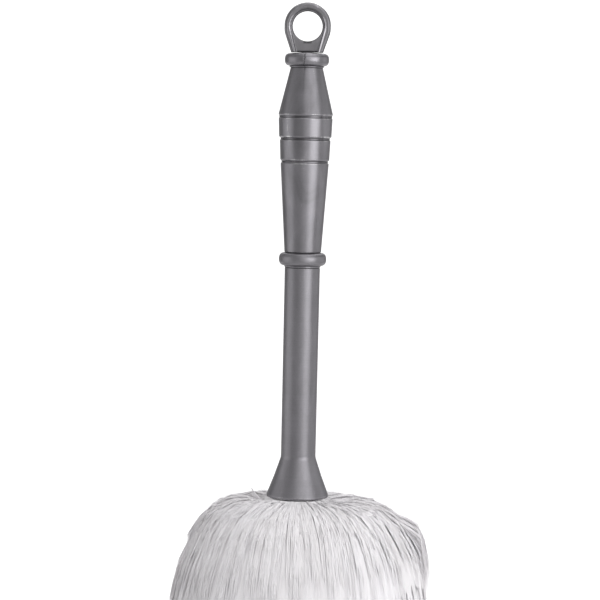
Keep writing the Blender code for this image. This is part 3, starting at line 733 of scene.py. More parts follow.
def loop_marks(points):
    """Marks of the loop, each from 0 to 1. The edge mark is a painted highlight: a pale line along
    the rim's inner shoulder, most at the lower right and not at the top, and faintly on the
    crown's outer rounding. The dark mark is mostly painted shade: in the slot under the web,
    under the feet, a little on the eye's lip, down the right flank and inside the crown. It also
    holds a gate mark at the bottom of the eye, and makes the web a little darker, more to the
    right."""
    share = np.linspace(0.0, 1.0, 401)
    x, height, z = points[:, 0], np.abs(points[:, 1]), points[:, 2]
    flat = points[:, [0, 2]]
    inner = gap_to(flat, recess_outline(share))
    outer = gap_to(flat, loop_outline(share))

    # painted highlight along the rim's inner shoulder and on the crown's outer rounding
    shoulder = rising(height, 2.6, 0.5) * falling(inner, 1.0, 0.3)
    right = (0.5 + 0.5 * falling(z, -8.0, 5.0)) * falling(z, 1.0, 6.0)
    left = (0.34 - 0.16 * falling(z, -11.0, 4.0)) * falling(z, 2.0, 4.0)
    crown = falling(outer, 1.9, 0.5) * (height > 2.2) * rising(z, -4.0, 5.0)
    crown = crown * (0.22 + 0.02 * np.clip(x / 6.0, -1.0, 1.0))
    edge = np.maximum(shoulder * np.where(x > 0.0, right, left), crown)

    # painted shade in the slot, under the feet, on the eye's lip, down the right flank and inside the
    # crown; the gate is a mark and the web is made a little darker
    slot = (z < LOOP_FOOT + 1.75) & (height < 1.4)
    foot = z < LOOP_FOOT + 0.3
    gap = np.hypot(x, z - EYE) - EYE_RADIUS
    lip = 0.3 * falling(gap, 0.4, 0.1) * (height < 1.6)
    gate = falling(gap, 1.5, 0.3) * falling(np.abs(x - 0.2), 2.7, 0.5) * (z < EYE)
    web = 0.16 * (height < 1.55) * falling(z, -17.5, 2.0)
    web = web * (1.0 + 0.6 * np.clip((x - 1.0) / 3.0, -1.0, 1.0))
    flank = 0.3 * falling(outer, 1.5, 0.4) * (x > 5.0) * falling(z, 1.0, 4.0) * (height > 1.0)
    inside = 0.25 * falling(inner, 1.6, 0.4) * (height > 1.6) * rising(z, -3.0, 5.0)
    soft = np.maximum.reduce([gate, lip, web, flank, inside])
    return {"edge": edge, "painted_shade_and_marks": np.where(slot | foot, 1.0, soft)}


def hanging_loop():
    """The eye in one moulding: rim, web, slot wall, tang and split stem."""
    tang = rounded_box(3.0, 0.9 * WEB_HALF, LOOP_FOOT + 1.9, COLLAR_TOP - 1.6, 0.2)
    shell = joined([rim_shell(), web_shell(), panel_shell(), tang] + stem_shells())
    return mesh_object("loop_moulding", shell, loop_marks(shell[0]))


# Fluff

def turn_reach(turn):
    """How far out the fibres of a turn reach: a rounded profile, widest at WIDEST_TURN."""
    above = 1.0 - (1.0 - TOP_REACH) * falling(turn, WIDEST_TURN, WIDEST_TURN) ** 2
    below = np.clip((turn - WIDEST_TURN) / (TURNS - 1 - WIDEST_TURN), 0.0, 1.2)
    return HEAD_RADIUS * np.where(turn < WIDEST_TURN, above, 1.0 - (1.0 - TIP_REACH) * below ** 2.6)


def swell(r, azimuth):
    """How much the first turn's upper fibres stand above their own line, where they press up
    round the handle's rim: most at the front, some at the left and least at the back."""
    left = np.clip(-np.cos(azimuth), 0.0, 1.0) ** 2
    front = np.clip(-np.sin(azimuth), 0.0, 1.0) ** 2
    start = rising(r, 11.0, 6.0)
    peak = 0.9 + (2.4 * front + 1.3 * left) * hump(r, 25.0 + 14.0 * left, 12.0)
    pressed = np.clip(-1.6 * np.sin(azimuth), 0.0, 1.0) * hump(r, 20.5, 5.0)
    return np.maximum(peak, 4.1 * pressed) * start * start * (3.0 - 2.0 * start)


def fibre_height(turn, r, azimuth):
    """Level of the fibres of a turn at radius r: they spring up a little, run out nearly level
    and droop with the power DROOP_POWER of r, and the lower turns fall all the way. Beyond
    HANG_RADIUS they hang down faster. The upper turns droop sooner at the left and later at the
    right."""
    out = r - TAPE_RADIUS
    rise = ROOT_RISE * (1.0 - np.exp(-out / RISE_RUN))
    fall = FALL_SLOPE * np.clip(turn / (TURNS - 1), 0.0, 1.1) ** FALL_POWER * out
    left = np.clip(-np.cos(azimuth), 0.0, 1.0) ** 2
    uneven = 0.01 - 0.05 * np.cos(azimuth) + 0.035 * left * hump(r, 66.0, 7.0)
    uneven = 1.0 + uneven * np.clip(1.0 - turn / 3.0, 0.0, 1.0)
    droop = DROOP * (r * uneven / DROOP_RADIUS) ** DROOP_POWER
    hang = np.clip((r * np.maximum(uneven, 1.0) - HANG_RADIUS) / HANG_RUN, 0.0, 1.3)
    droop = droop + (8.0 + 6.0 * np.clip(np.cos(azimuth), 0.0, 1.0)) * hang * hang
    raised = swell(r, azimuth) * np.clip(1.0 - 2.0 * turn, 0.0, 1.0)
    return WINDING_TOP - turn * TURN_PITCH - LOCK_LIFT + rise - fall - droop + raised


def waves(angles, cycles, phases):
    """A gentle sum of sines round a turn, each smaller by its number of cycles, so that its slope
    stays about the same for all of them."""
    total = 0.0 * angles
    for count, phase in zip(cycles, phases):
        total = total + np.sin(count * angles + phase) / count
    return total


def tuft_table(turn, count, chance, phases, cover):
    """Random values for the tufts of one turn, each an array with one value a tuft. The tufts of
    a cover start out in the fluff and lie on it. Of the others, most of the first turn's lie in
    its top layer, and the rest fill the whole pitch."""
    room = TAU / count
    spread = {"room": np.full(count, room)}
    spread["azimuth"] = (np.arange(count) + chance.uniform(0.0, 1.0, count)) * room
    level = chance.uniform(0.0, 1.0, count)
    top = chance.uniform(0.0, 1.0, count) < (0.6 if turn == 0 else 0.25)
    level = np.where(top | cover, 0.05 * level, level)
    spread["turn"] = turn + level
    lean = SWAY * waves(spread["azimuth"] + 0.7 * level, SWAY_CYCLES, phases)
    spread["sway"] = lean + 0.8 * room * np.clip(chance.standard_normal(count), -2.0, 2.0)
    short = 1.0 - (0.40 if cover else 0.05) * chance.uniform(0.0, 1.0, count) ** 1.2
    bold = chance.uniform(0.0, 1.0, count) < BOLD_SHARE
    short = np.where(bold, chance.uniform(0.97, 1.03, count), short)
    spread["root"] = np.full(count, TAPE_RADIUS - 0.3)
    if cover:
        spread["root"] = (11.5 + 14.0 * turn + 30.0 * chance.uniform(0.0, 1.0, count))
        nearby = (spread["root"] + 30.0) / HEAD_RADIUS
        short = np.where(chance.uniform(0.0, 1.0, count) < 0.35, nearby, short)
    spread["reach"] = turn_reach(spread["turn"]) * short
    spread["lift"] = 0.15 * np.clip(chance.standard_normal(count), -2.0, 1.6)
    bend = 1.0 + 0.01 * np.clip(chance.standard_normal(count), -2.0, 2.0)
    spread["bend"] = np.where(bold, chance.uniform(0.955, 0.985, count), bend)
    spread["tone"] = chance.uniform(0.0, 1.0, count)
    spread["width"] = chance.uniform(1.1, 2.2, count) * np.where(bold, 0.8, 1.0)
    return spread


def under_ceiling(r, z, room):
    """Keep points under the handle's rim, with room for their own thickness."""
    return np.where(r < FLARE_RADIUS + 0.35, np.minimum(z, RIM - room), z)


def fibre_lines(turn, counts, chance, phases, cover=False):
    """Centre lines of fibres of one turn, as (fibres, stations, 3), with each one's tone. counts
    has the tufts, the fibres of each and the stations.
    A fibre's azimuth starts within its tuft's share of the tape, spreads over the tuft's width
    and closes in on the tuft's tip. Its height follows fibre_height with the tuft's lift, and
    each station is raised by the sag of the chord beside it, the step squared over 8 times the
    droop's second slope, so that the straight runs lie on the curve."""
    tufts, each, stations = counts
    own = tuft_table(turn, tufts, chance, phases, cover)
    table = {key: np.repeat(values, each)[:, None] for key, values in own.items()}

    def drawn(low, high):
        return chance.uniform(low, high, (tufts * each, 1))

    share = 1.0 - (1.0 - np.linspace(0.0, 1.0, stations)[None, :]) ** 1.45
    side = drawn(-1.0, 1.0)
    down = drawn(-0.4, 0.25 if cover else 0.4)
    ragged = 1.0 - 0.07 * drawn(0.0, 1.0) ** 1.2
    stray = drawn(0.0, 1.0) > STRAY_FROM
    ragged = np.where(stray, drawn(0.92, 1.03), ragged)
    reach = table["reach"] * ragged
    r = table["root"] + (reach - table["root"]) * share

    width = 0.5 * table["room"] * table["width"]
    closing = 1.2 - 0.25 * share ** 3.0
    free = np.where(stray, 1.8, 1.0)
    wave = drawn(0.15, 0.6)
    phase = drawn(0.0, TAU)
    cycles = drawn(0.6, 1.8)
    ripple = wave * np.sin(phase + cycles * TAU * share) * share
    sweep = ((r - TAPE_RADIUS) / HEAD_RADIUS) ** 2.0 * 1.25
    azimuth = table["azimuth"] + side * width * closing * free + table["sway"] * sweep
    azimuth = azimuth + ripple / np.maximum(r, 5.0)

    droop = DROOP * (r / DROOP_RADIUS) ** DROOP_POWER
    z = fibre_height(table["turn"], r, azimuth) - (table["bend"] - 1.0) * droop
    sag = np.gradient(r, axis=1) ** 2 / 8.0 * DROOP_POWER * (DROOP_POWER - 1.0) * droop / r ** 2
    z = z + np.minimum(sag, 1.2)
    z = z - down * np.sin(share * 2.7) + table["lift"] * share ** 0.7
    if cover:
        z = z + 0.5 - 2.6 * (1.0 - share) ** 3.0
    z = under_ceiling(r, z + 1.5 * stray * share + ripple * np.cos(phase * 1.7), 0.2)
    tone = np.clip(table["tone"] * 0.6 + 0.4 * drawn(0.0, 1.0), 0.0, 1.0)
    return polar(r, azimuth, z), tone[:, 0]


PLACED_TUFTS = (
    (181.0, 19.0, 28.5, 7.5, 6.0, 150), (176.0, 20.0, 30.0, 2.6, 8.0, 90),
    (4.0, 20.0, 35.0, 2.0, 9.0, 90), (-6.0, 26.0, 42.0, 1.4, 7.0, 80),
    (183.0, 48.0, 67.0, 10.5, 3.5, 170), (188.0, 44.0, 61.0, 4.5, 4.0, 110),
    (178.0, 55.0, 72.5, 9.0, 3.0, 170), (184.0, 58.0, 77.0, 13.0, 2.5, 130),
    (180.0, 60.0, 76.0, 7.0, 4.0, 170), (190.0, 62.0, 78.0, 8.0, 3.0, 130),
    (-2.0, 52.0, 78.5, 22.0, 3.5, 280), (3.0, 50.0, 72.0, 6.5, 5.0, 150),
    (-7.0, 56.0, 80.0, 25.0, 3.0, 170), (-4.0, 60.0, 83.0, 34.0, 2.0, 110),
    (-10.0, 58.0, 82.0, 26.0, 3.0, 130), (6.0, 60.0, 82.0, 28.0, 2.5, 130),
)


def flyaways(chance, stations):
    """Loose tufts that stand up out of the first turn, some placed and the rest at random. Each
    row of the table has a tuft's azimuth in degrees, the radii where it leaves the fluff and
    ends, how high its tip stands over the fluff, its width in degrees and its number of fibres."""
    table = list(PLACED_TUFTS)
    for _ in range(LOOSE_TUFTS):
        azimuth, start = chance.uniform(0.0, 360.0), chance.uniform(42.0, 68.0)
        end = min(start + chance.uniform(9.0, 16.0), 79.0)
        rise = (0.8 + 4.6 * math.cos(math.radians(azimuth)) ** 2) * chance.uniform(0.5, 1.0)
        table.append((azimuth, start, end, rise, chance.uniform(2.5, 4.5), LOOSE_FIBRES))
    lines = []
    share = np.linspace(0.0, 1.0, stations)[None, :]
    for azimuth, start, end, rise, width, count in table:
        side = chance.uniform(-1.0, 1.0, (count, 1))
        own = end - (end - start) * 0.45 * chance.uniform(0.0, 1.0, (count, 1)) ** 1.5
        r = start - 4.0 + (own - start + 4.0) * share
        turn = np.radians(azimuth + 0.5 * width * side * (1.0 - 0.8 * share ** 1.5))
        own_rise = rise * (1.0 - 0.75 * chance.uniform(0.0, 1.0, (count, 1)) ** 1.4)
        height = own_rise * rising(r, start, end - start) ** 2.0 - 1.2 * (1.0 - share)
        lines.append(polar(r, turn, under_ceiling(r, fibre_height(0.0, r, turn) + height, 0.2)))
    lines = np.concatenate(lines)
    return lines, chance.uniform(0.0, 1.0, len(lines))


def teeth(angles, count, chance):
    """Pointed teeth of random heights and widths round a turn, from 0 between two to 1."""
    starts = (np.arange(count) + 0.45 * chance.uniform(-1.0, 1.0, count)) * TAU / count
    heights = chance.uniform(0.25, 1.0, count)
    here = np.mod(angles - starts[0], TAU) + starts[0]
    at = np.searchsorted(starts, here, side="right") - 1
    ends = np.append(starts[1:], starts[0] + TAU)
    share = (here - starts[at]) / (ends[at] - starts[at])
    return heights[at] * (1.0 - np.abs(2.0 * share - 1.0)) ** 0.8


def bed_shell(level, chance, phases):
    """A dense underlayer just under the upper fibres of that level, counted in turns: a closed
    skirt from the tape out to pointed locks. Its upper side follows fibre_height with soft
    furrows round it that deepen with the radius, and its lower side lies a little below."""
    columns, locks, inset = (380, 130, 0.93) if level < 1.9 else (150, 56, 0.86)
    if level < 0.6:
        inset = 0.96
    angles = even_angles(columns)
    inner = np.array([0.0, 5.0, 9.0, 11.5, 11.9, 13.5, 16.5, 21.0]) / 75.0
    outer = 1.0 - 0.64 * np.linspace(1.0, 0.0, 9) ** 1.25
    share = np.concatenate([inner if level < 0.9 else inner[::3], outer])[:, None]
    peaks = LOCK_SHARE * teeth(angles, locks, chance)
    edge = inset + 0.05 * waves(angles, (9, 17, 29, 43), phases[::-1]) + peaks
    plain = 0.93 * turn_reach(level)
    edge = (turn_reach(level) * edge)[None, :]
    r = TAPE_RADIUS - 0.2 + (plain - TAPE_RADIUS) * share + (edge - plain) * share ** 7
    furrow = FURROW * waves(angles, (37, 53, 83), phases) * (r / HEAD_RADIUS)
    slope = DROOP_POWER * DROOP / DROOP_RADIUS * (r / DROOP_RADIUS) ** (DROOP_POWER - 1.0)
    sunk = BED_SUNK * np.clip((r - 18.0) / 12.0, 0.15, 1.0) * np.hypot(1.0, slope)
    swept = angles + SWAY * waves(angles, SWAY_CYCLES, phases) * (r / HEAD_RADIUS) ** 2
    top = under_ceiling(r, fibre_height(level, r, swept) - sunk + furrow, 0.35)
    low = top - BED_THICKNESS * (1.0 - 0.85 * share ** 4.0)
    return ring_shell(np.concatenate([polar(r, swept, top), polar(r, swept, low)[::-1]]))


FIBRE_SECTION = ((-2.0, -0.12), (2.0, -0.12), (0.0, 0.34))
GOLDEN_TURN = 2.399963


def fibre_mesh(name, lines, tone, radius, twist):
    """Flat three-sided fibres along the lines, widest in the middle and pointed at the tip. At
    each station the three corners stand round the line's direction, which is the difference
    between its neighbours: two apart on the level direction across it, and a low ridge between
    them on the one square to both, all rolled by up to twist. Their faces are shaded flat."""
    count, stations = lines.shape[:2]
    ahead = np.empty_like(lines)
    ahead[:, 1:-1] = lines[:, 2:] - lines[:, :-2]
    ahead[:, 0] = lines[:, 1] - lines[:, 0]
    ahead[:, -1] = lines[:, -1] - lines[:, -2]
    ahead = unit(ahead)
    level = unit(np.stack([-lines[..., 1], lines[..., 0], np.zeros(lines.shape[:2])], axis=-1))
    over = unit(np.cross(ahead, level))
    level = np.cross(over, ahead)
    share = np.linspace(0.0, 1.0, stations)[None, :-1]
    thick = radius[:, None] * (0.72 + 0.42 * np.sin(share * math.pi * 0.9) - 0.45 * share ** 3)
    roll = twist * np.sin(np.arange(count) * GOLDEN_TURN)[:, None]
    corners = []
    for across, up in FIBRE_SECTION:
        sideways = (across * np.cos(roll) - up * np.sin(roll)) * thick
        upwards = (across * np.sin(roll) + up * np.cos(roll)) * thick
        offset = level[:, :-1] * sideways[..., None] + over[:, :-1] * upwards[..., None]
        corners.append(lines[:, :-1] + offset)
    rings = stations - 1
    each = rings * 3 + 1
    tube = np.stack(corners, axis=2).reshape(count, rings * 3, 3)
    points = np.concatenate([tube, lines[:, -1:]], axis=1).reshape(-1, 3)

    base = (np.arange(count) * each)[:, None]
    k = np.arange(3)
    after = (k + 1) % 3
    ring = base[..., None] + 3 * np.arange(rings - 1)[:, None]
    quads = np.stack([ring + k, ring + after, ring + 3 + after, ring + 3 + k], axis=-1)
    last = base + (rings - 1) * 3
    tips = np.stack([last + k, last + after, base + each - 1 + 0 * k], axis=-1).reshape(-1, 3)
    roots = base + np.array([2, 1, 0])
    shell = outward((points, quads.reshape(-1, 4), np.concatenate([tips, roots])))
    item = mesh_object(name, shell, {"tone": np.repeat(tone, each)})
    item.data.polygons.foreach_set("use_smooth", np.zeros(len(item.data.polygons), bool))
    return item


def tape_shell(turn):
    """The strip of backing that the fibres are set in, one closed turn round the core."""
    top = WINDING_TOP - turn * TURN_PITCH - 0.3
    low = top - TURN_PITCH + 0.6
    inner = TAPE_RADIUS - 1.7
    line, _ = profile([(inner, top, 0.3), (TAPE_RADIUS, top, 0.5),
                       (TAPE_RADIUS, low, 0.5), (inner, low, 0.3)], 6.0)
    return ring_shell(turned(line, even_angles(64)))


# Tufts, fibres in each and stations along each, for the first turns and for all that follow
BODY = ((240, 20, 7), (190, 20, 7), (140, 19, 6), (100, 16, 6))
COVER = ((300, 21, 6), (190, 17, 6))
# Levels of the beds within a turn, as shares of the pitch
BEDS = ((0.02, 0.26, 0.5, 0.75), (0.02, 0.26, 0.5, 0.75), (0.05, 0.4, 0.75), (0.1, 0.6))


def fluff_piece(name, fibres, chance, twist=0.22):
    """A mesh of fibres of various thicknesses, from their lines and tones."""
    lines, tone = fibres
    return fibre_mesh(name, lines, tone, chance.uniform(*FIBRE_RADII, len(lines)), twist)


def fringe(turn):
    """One turn of the fringe: its fibres, the beds under them and its strip of backing tape."""
    chance = np.random.default_rng(SEED + turn)
    phases = chance.uniform(0.0, TAU, 4)
    name = "turn_%02d" % (turn + 1)
    body = fibre_lines(turn, BODY[min(turn, len(BODY) - 1)], chance, phases)
    fluff = [fluff_piece("fluff_" + name, body, chance)]
    if turn < len(COVER):
        cover = fibre_lines(turn, COVER[turn], chance, phases, True)
        fluff.append(fluff_piece("cover_" + name, cover, chance))
    if turn == 0:
        fluff.append(fluff_piece("flyaways", flyaways(chance, 6), chance, 1.2))
    levels = BEDS[min(turn, len(BEDS) - 1)]
    beds = joined([bed_shell(turn + level, chance, phases) for level in levels])
    bed = mesh_object("bed_" + name, beds)
    return fluff, bed, mesh_object("tape_" + name, outward(tape_shell(turn)))


# Materials

def new_material(name):
    """An empty material with a Principled shader wired to its output."""
    material = bpy.data.materials.new(name)
    material.use_nodes = True
    return material, material.node_tree, material.node_tree.nodes["Principled BSDF"]


def feed(tree, socket, value):
    """Set an input to a value, or link it to a (node, output) pair."""
    if isinstance(value, tuple) and isinstance(value[0], bpy.types.Node):
        tree.links.new(value[0].outputs[value[1]], socket)
    else:
        socket.default_value = value


def fill(tree, made, **inputs):
    """Feed a node's inputs by name. An underscore in the name stands for a space."""
    for key, value in inputs.items():
        feed(tree, made.inputs[key.replace("_", " ")], value)


def node(tree, kind, settings=None, **inputs):
    """A node with its settings and its inputs."""
    made = tree.nodes.new(kind)
    for key, value in (settings or {}).items():
        setattr(made, key, value)
    fill(tree, made, **inputs)
    return made


def arithmetic(tree, operation, *values):
    """The result of a Math node on its values."""
    made = node(tree, "ShaderNodeMath", {"operation": operation})
    for socket, value in zip(made.inputs, values):
        feed(tree, socket, value)
    return made, 0


def add_scaled(tree, value, gain, start):
    """value times gain, plus start."""
    return arithmetic(tree, "MULTIPLY_ADD", value, gain, start)


def object_place(tree):
    """The place on the object."""
    return node(tree, "ShaderNodeTexCoord"), "Object"


def noise(tree, place, scale, detail, roughness, distortion=0.0):
    """A noise pattern from 0 to 1."""
    made = node(tree, "ShaderNodeTexNoise", Vector=place, Scale=scale, Detail=detail,
                Roughness=roughness, Distortion=distortion)
    return made, "Fac"


def stretched(tree, place, scale, rotation=(0.0, 0.0, 0.0)):
    """A place that is turned and scaled."""
    return node(tree, "ShaderNodeMapping", Vector=place, Scale=scale, Rotation=rotation), "Vector"


def mapped(tree, value, start, end, low, high, interpolation="LINEAR"):
    """low up to start and high from end on, with a run between them."""
    made = node(tree, "ShaderNodeMapRange", {"interpolation_type": interpolation}, Value=value,
                From_Min=start, From_Max=end, To_Min=low, To_Max=high)
    return made, "Result"


def bump(tree, height, strength, distance):
    """A normal that follows a height."""
    return node(tree, "ShaderNodeBump", Height=height, Strength=strength, Distance=distance), "Normal"


def mark(tree, name):
    """A mesh attribute's value."""
    return node(tree, "ShaderNodeAttribute", {"attribute_name": name}), "Fac"


def colours(tree, value, first, last, *between):
    """A colour that runs with value through (position, colour) stops."""
    made = node(tree, "ShaderNodeValToRGB", Fac=value)
    stops = made.color_ramp.elements
    for stop, (position, colour) in zip(list(stops), (first, last)):
        stop.position = position
        stop.color = (*colour, 1.0)
    for position, colour in between:
        stops.new(position).color = (*colour, 1.0)
    return made, "Color"


def new_group(name, inputs, outputs):
    """A node group with its named sockets, and its input and output nodes."""
    group = bpy.data.node_groups.new(name, "ShaderNodeTree")
    for key in inputs:
        made = group.interface.new_socket(name=key, in_out="INPUT", socket_type="NodeSocketFloat")
        made.default_value = 1.0
    for key in outputs:
        kind = "NodeSocketVector" if key == "Normal" else "NodeSocketFloat"
        group.interface.new_socket(name=key, in_out="OUTPUT", socket_type=kind)
    return group, group.nodes.new("NodeGroupInput"), group.nodes.new("NodeGroupOutput")


def moulded_surface_group():
    """Shades and bump of moulded plastic: broad flow marks that swirl, a fine pearly speckle, a
    faint ring pattern from the mould's turning, and scuffs. It gives a tone round 0, a roughness
    change round 0, and a normal."""
    group, given, out = new_group("moulded_surface", ("Flow", "Rings"), ("Tone", "Rough", "Normal"))
    place = object_place(group)
    swirl = noise(group, stretched(group, place, (1.0, 1.0, 0.45), (0.5, 0.35, 0.0)),
                  58.0, 3.0, 0.55, 1.6)
    flow = arithmetic(group, "MULTIPLY", arithmetic(group, "SUBTRACT", swirl, 0.5), (given, "Flow"))
    pearl = add_scaled(group, noise(group, place, 2600.0, 1.0, 0.6), 0.42, -0.21)
    lathe = noise(group, stretched(group, place, (16.0, 16.0, 1500.0)), 1.0, 2.0, 0.7)
    ring = arithmetic(group, "MULTIPLY", arithmetic(group, "SUBTRACT", lathe, 0.5), (given, "Rings"))
    scratches = noise(group, stretched(group, place, (900.0, 900.0, 130.0), (0.2, -0.25, 0.4)),
                      1.0, 2.0, 0.5)
    scuff = mapped(group, scratches, 0.66, 0.80, 0.0, 1.0)

    tone = add_scaled(group, ring, 0.35, arithmetic(group, "ADD", flow, pearl))
    rough = add_scaled(group, flow, 0.5, pearl)
    height = add_scaled(group, ring, 0.8, noise(group, place, 900.0, 2.0, 0.5))
    height = add_scaled(group, scuff, -0.5, height)
    height = add_scaled(group, flow, 1.5, height)
    fill(group, out, Tone=add_scaled(group, scuff, 0.14, tone),
         Rough=add_scaled(group, scuff, 0.12, rough), Normal=bump(group, height, 0.35, 0.00003))
    return group


MOULDED = moulded_surface_group()


def plastic(name, dark, light, roughness, metallic, flow, rings, edge_gain=0.0, darken_gain=0.0,
            edge_matte=0.0):
    """Moulded plastic. Its colour runs from dark to light with the moulded surface's tone. The edge
    mark makes it lighter by the edge gain: wear on the small roundings of the turned pieces, and a
    painted highlight on the loop. The dark mark makes it darker by the darkening gain: mostly
    painted shade, with the loop's gate mark and darker web. The last argument is how much of the
    pigment's metallic look the marked edges lose, which makes the loop's painted highlight matte."""
    material, tree, shader = new_material(name)
    surface = node(tree, "ShaderNodeGroup", {"node_tree": MOULDED}, Flow=flow, Rings=rings)
    edge = mark(tree, "edge")
    level = arithmetic(tree, "ADD", (surface, "Tone"), 0.5)
    # edge mark: wear on the turned pieces, a painted highlight on the loop
    level = add_scaled(tree, edge, edge_gain, level)
    # dark mark: mostly painted shade
    level = add_scaled(tree, mark(tree, "painted_shade_and_marks"), -darken_gain, level)
    # the darkest stop takes painted shade, the lightest takes wear and the loop's painted highlight
    deep = [c * 0.45 for c in dark]
    wear_and_highlight = [min(1.0, c * 4.2) for c in light]
    colour = colours(tree, level, (0.0, deep), (1.0, wear_and_highlight), (0.3, dark), (0.7, light))
    fill(tree, shader, Base_Color=colour, Normal=(surface, "Normal"),
         Roughness=add_scaled(tree, (surface, "Rough"), 0.22, roughness),
         Metallic=add_scaled(tree, edge, -edge_matte * metallic, metallic),
         Specular_IOR_Level=0.4, Specular_Tint=(0.7, 0.7, 0.7, 1.0))
    return material


def streak_group():
    """Streaks that run with the fibres. The pattern's place is the direction round the head's
    axis and the way out and down along a fibre, so it is drawn out along them. It gives fine
    streaks, broader locks and large soft patches, each from 0 to 1."""
    group, _, out = new_group("fibre_streaks", (), ("Fine", "Broad", "Patches"))
    place = object_place(group)

    def vector(operation, first, second=(0.0, 0.0, 0.0)):
        made = node(group, "ShaderNodeVectorMath", {"operation": operation})
        feed(group, made.inputs[0], first)
        feed(group, made.inputs[1], second)
        return made, "Value" if operation == "LENGTH" else "Vector"

    flat = vector("MULTIPLY", place, (1.0, 1.0, 0.0))
    level = node(group, "ShaderNodeSeparateXYZ", Vector=place), "Z"
    along = arithmetic(group, "SUBTRACT", vector("LENGTH", flat), level)
    lift = node(group, "ShaderNodeCombineXYZ", Z=along), "Vector"
    spot = vector("ADD", vector("NORMALIZE", flat), lift)
    fill(group, out, Fine=noise(group, spot, 110.0, 2.0, 0.55),
         Broad=noise(group, spot, 21.0, 2.0, 0.55), Patches=noise(group, place, 24.0, 1.0, 0.5))
    return group


STREAKS = streak_group()


def fibre_material(name, tone_gain, specular, relief):
    """Soft white fibre: it runs from a warm to a cool white with each fibre's own tone and with
    streaks, locks and patches of the head. relief is the strength of the streaks' bump."""
    material, tree, shader = new_material(name)
    streaks = node(tree, "ShaderNodeGroup", {"node_tree": STREAKS})
    mixed = add_scaled(tree, mark(tree, "tone"), tone_gain, -0.45 - 0.5 * tone_gain)
    for pattern, gain in (("Fine", 0.7), ("Broad", 0.5), ("Patches", 0.7)):
        mixed = add_scaled(tree, (streaks, pattern), gain, mixed)
    white = colours(tree, mixed, (0.1, (0.82, 0.80, 0.81)), (0.9, (0.885, 0.87, 0.895)))
    fill(tree, shader, Base_Color=white, Roughness=0.75, Specular_IOR_Level=specular)
    if relief > 0.0:
        fill(tree, shader, Normal=bump(tree, (streaks, "Fine"), relief, 0.0004))
    return material


def backing_material():
    """The woven backing of the fringe: fine threads across and along the strip."""
    material, tree, shader = new_material("fringe_backing")
    threads = noise(tree, object_place(tree), 1400.0, 2.0, 0.6)
    white = colours(tree, threads, (0.0, (0.70, 0.69, 0.67)), (1.0, (0.86, 0.86, 0.85)))
    fill(tree, shader, Base_Color=white, Roughness=0.85, Normal=bump(tree, threads, 0.5, 0.0001))
    return material


def dress(item, material):
    """Give an object its only material."""
    item.data.materials.clear()
    item.data.materials.append(material)
    return item


# Surroundings

def paper_material():
    """Plain pale paper. To the camera it also glows towards the back, in a wide pool that fades
    out to both sides, so that it is white behind the object."""
    material, tree, shader = new_material("pale_paper")
    rays = node(tree, "ShaderNodeLightPath")
    seen = arithmetic(tree, "ADD", (rays, "Is Camera Ray"), (rays, "Is Glossy Ray"))
    seen = arithmetic(tree, "ADD", seen, (rays, "Is Transmission Ray"))
    split = node(tree, "ShaderNodeSeparateXYZ", Vector=object_place(tree))
    far = mapped(tree, (split, "Y"), 0.2, 1.3, 0.0, 0.8, "SMOOTHSTEP")
    aside = arithmetic(tree, "ABSOLUTE", (split, "X"))
    pool = mapped(tree, aside, 0.9, 1.9, 1.0, 0.0, "SMOOTHSTEP")
    glow = arithmetic(tree, "MULTIPLY", arithmetic(tree, "MULTIPLY", seen, far), pool)
    fill(tree, shader, Base_Color=(0.8, 0.8, 0.8, 1.0), Roughness=0.9, Specular_IOR_Level=0.0,
         Emission_Color=(1.0, 1.0, 1.0, 1.0), Emission_Strength=glow)
    return material


def backdrop():
    """Seamless paper: a wide floor that bends up into a wall behind the object. It lies low enough
    for the head to be pulled off."""
    level = CAD_LOW.z - 0.085
    bend = np.linspace(0.0, 0.5 * math.pi, 17)
    y = np.concatenate([[-9.0, -3.0, -1.0, 1.0], 2.4 + 0.8 * np.sin(bend), [3.2]])
    z = np.concatenate([[0.0, 0.0, 0.0, 0.0], 0.8 - 0.8 * np.cos(bend), [5.0]]) + level
    x = np.linspace(-9.0, 9.0, 7)
    rows, columns = len(y), len(x)
    points = np.stack([np.tile(x, rows), np.repeat(y, columns), np.repeat(z, columns)], axis=-1)
    i, j = np.meshgrid(np.arange(rows - 1), np.arange(columns - 1), indexing="ij")
    first = (i * columns + j).reshape(-1, 1)
    quads = np.concatenate([first, first + 1, first + columns + 1, first + columns], axis=1)
    item = mesh_object("backdrop", (points / MM, quads, np.zeros((0, 3), int)))
    dress(item, paper_material())


AMBIENT = 0.45


def surroundings():
    """A soft, even grey light from all round."""
    world = bpy.data.worlds.new("studio")
    bpy.context.scene.world = world
    world.use_nodes = True
    back = world.node_tree.nodes["Background"]
    fill(world.node_tree, back, Color=(1.0, 1.0, 1.0, 1.0), Strength=AMBIENT)


def softbox(name, azimuth, elevation, distance, width, height, radiance, aim):
    """A rectangular soft light. azimuth is counted from the camera's side towards +X."""
    light = bpy.data.lights.new(name, "AREA")
    light.shape = "RECTANGLE"
    light.size = width
    light.size_y = height
    light.energy = radiance * math.pi * width * height
    item = bpy.data.objects.new(name, light)
    bpy.context.scene.collection.objects.link(item)
    a, e = math.radians(azimuth), math.radians(elevation)
    away = np.array([math.sin(a) * math.cos(e), -math.cos(a) * math.cos(e), math.sin(e)])
    place = np.array([0.0, 0.0, aim]) + away * distance
    turn = Matrix.Rotation(a, 4, "Z") @ Matrix.Rotation(math.radians(90.0) - e, 4, "X")
    item.matrix_world = Matrix.Translation(tuple(place)) @ turn
    item.visible_camera = False


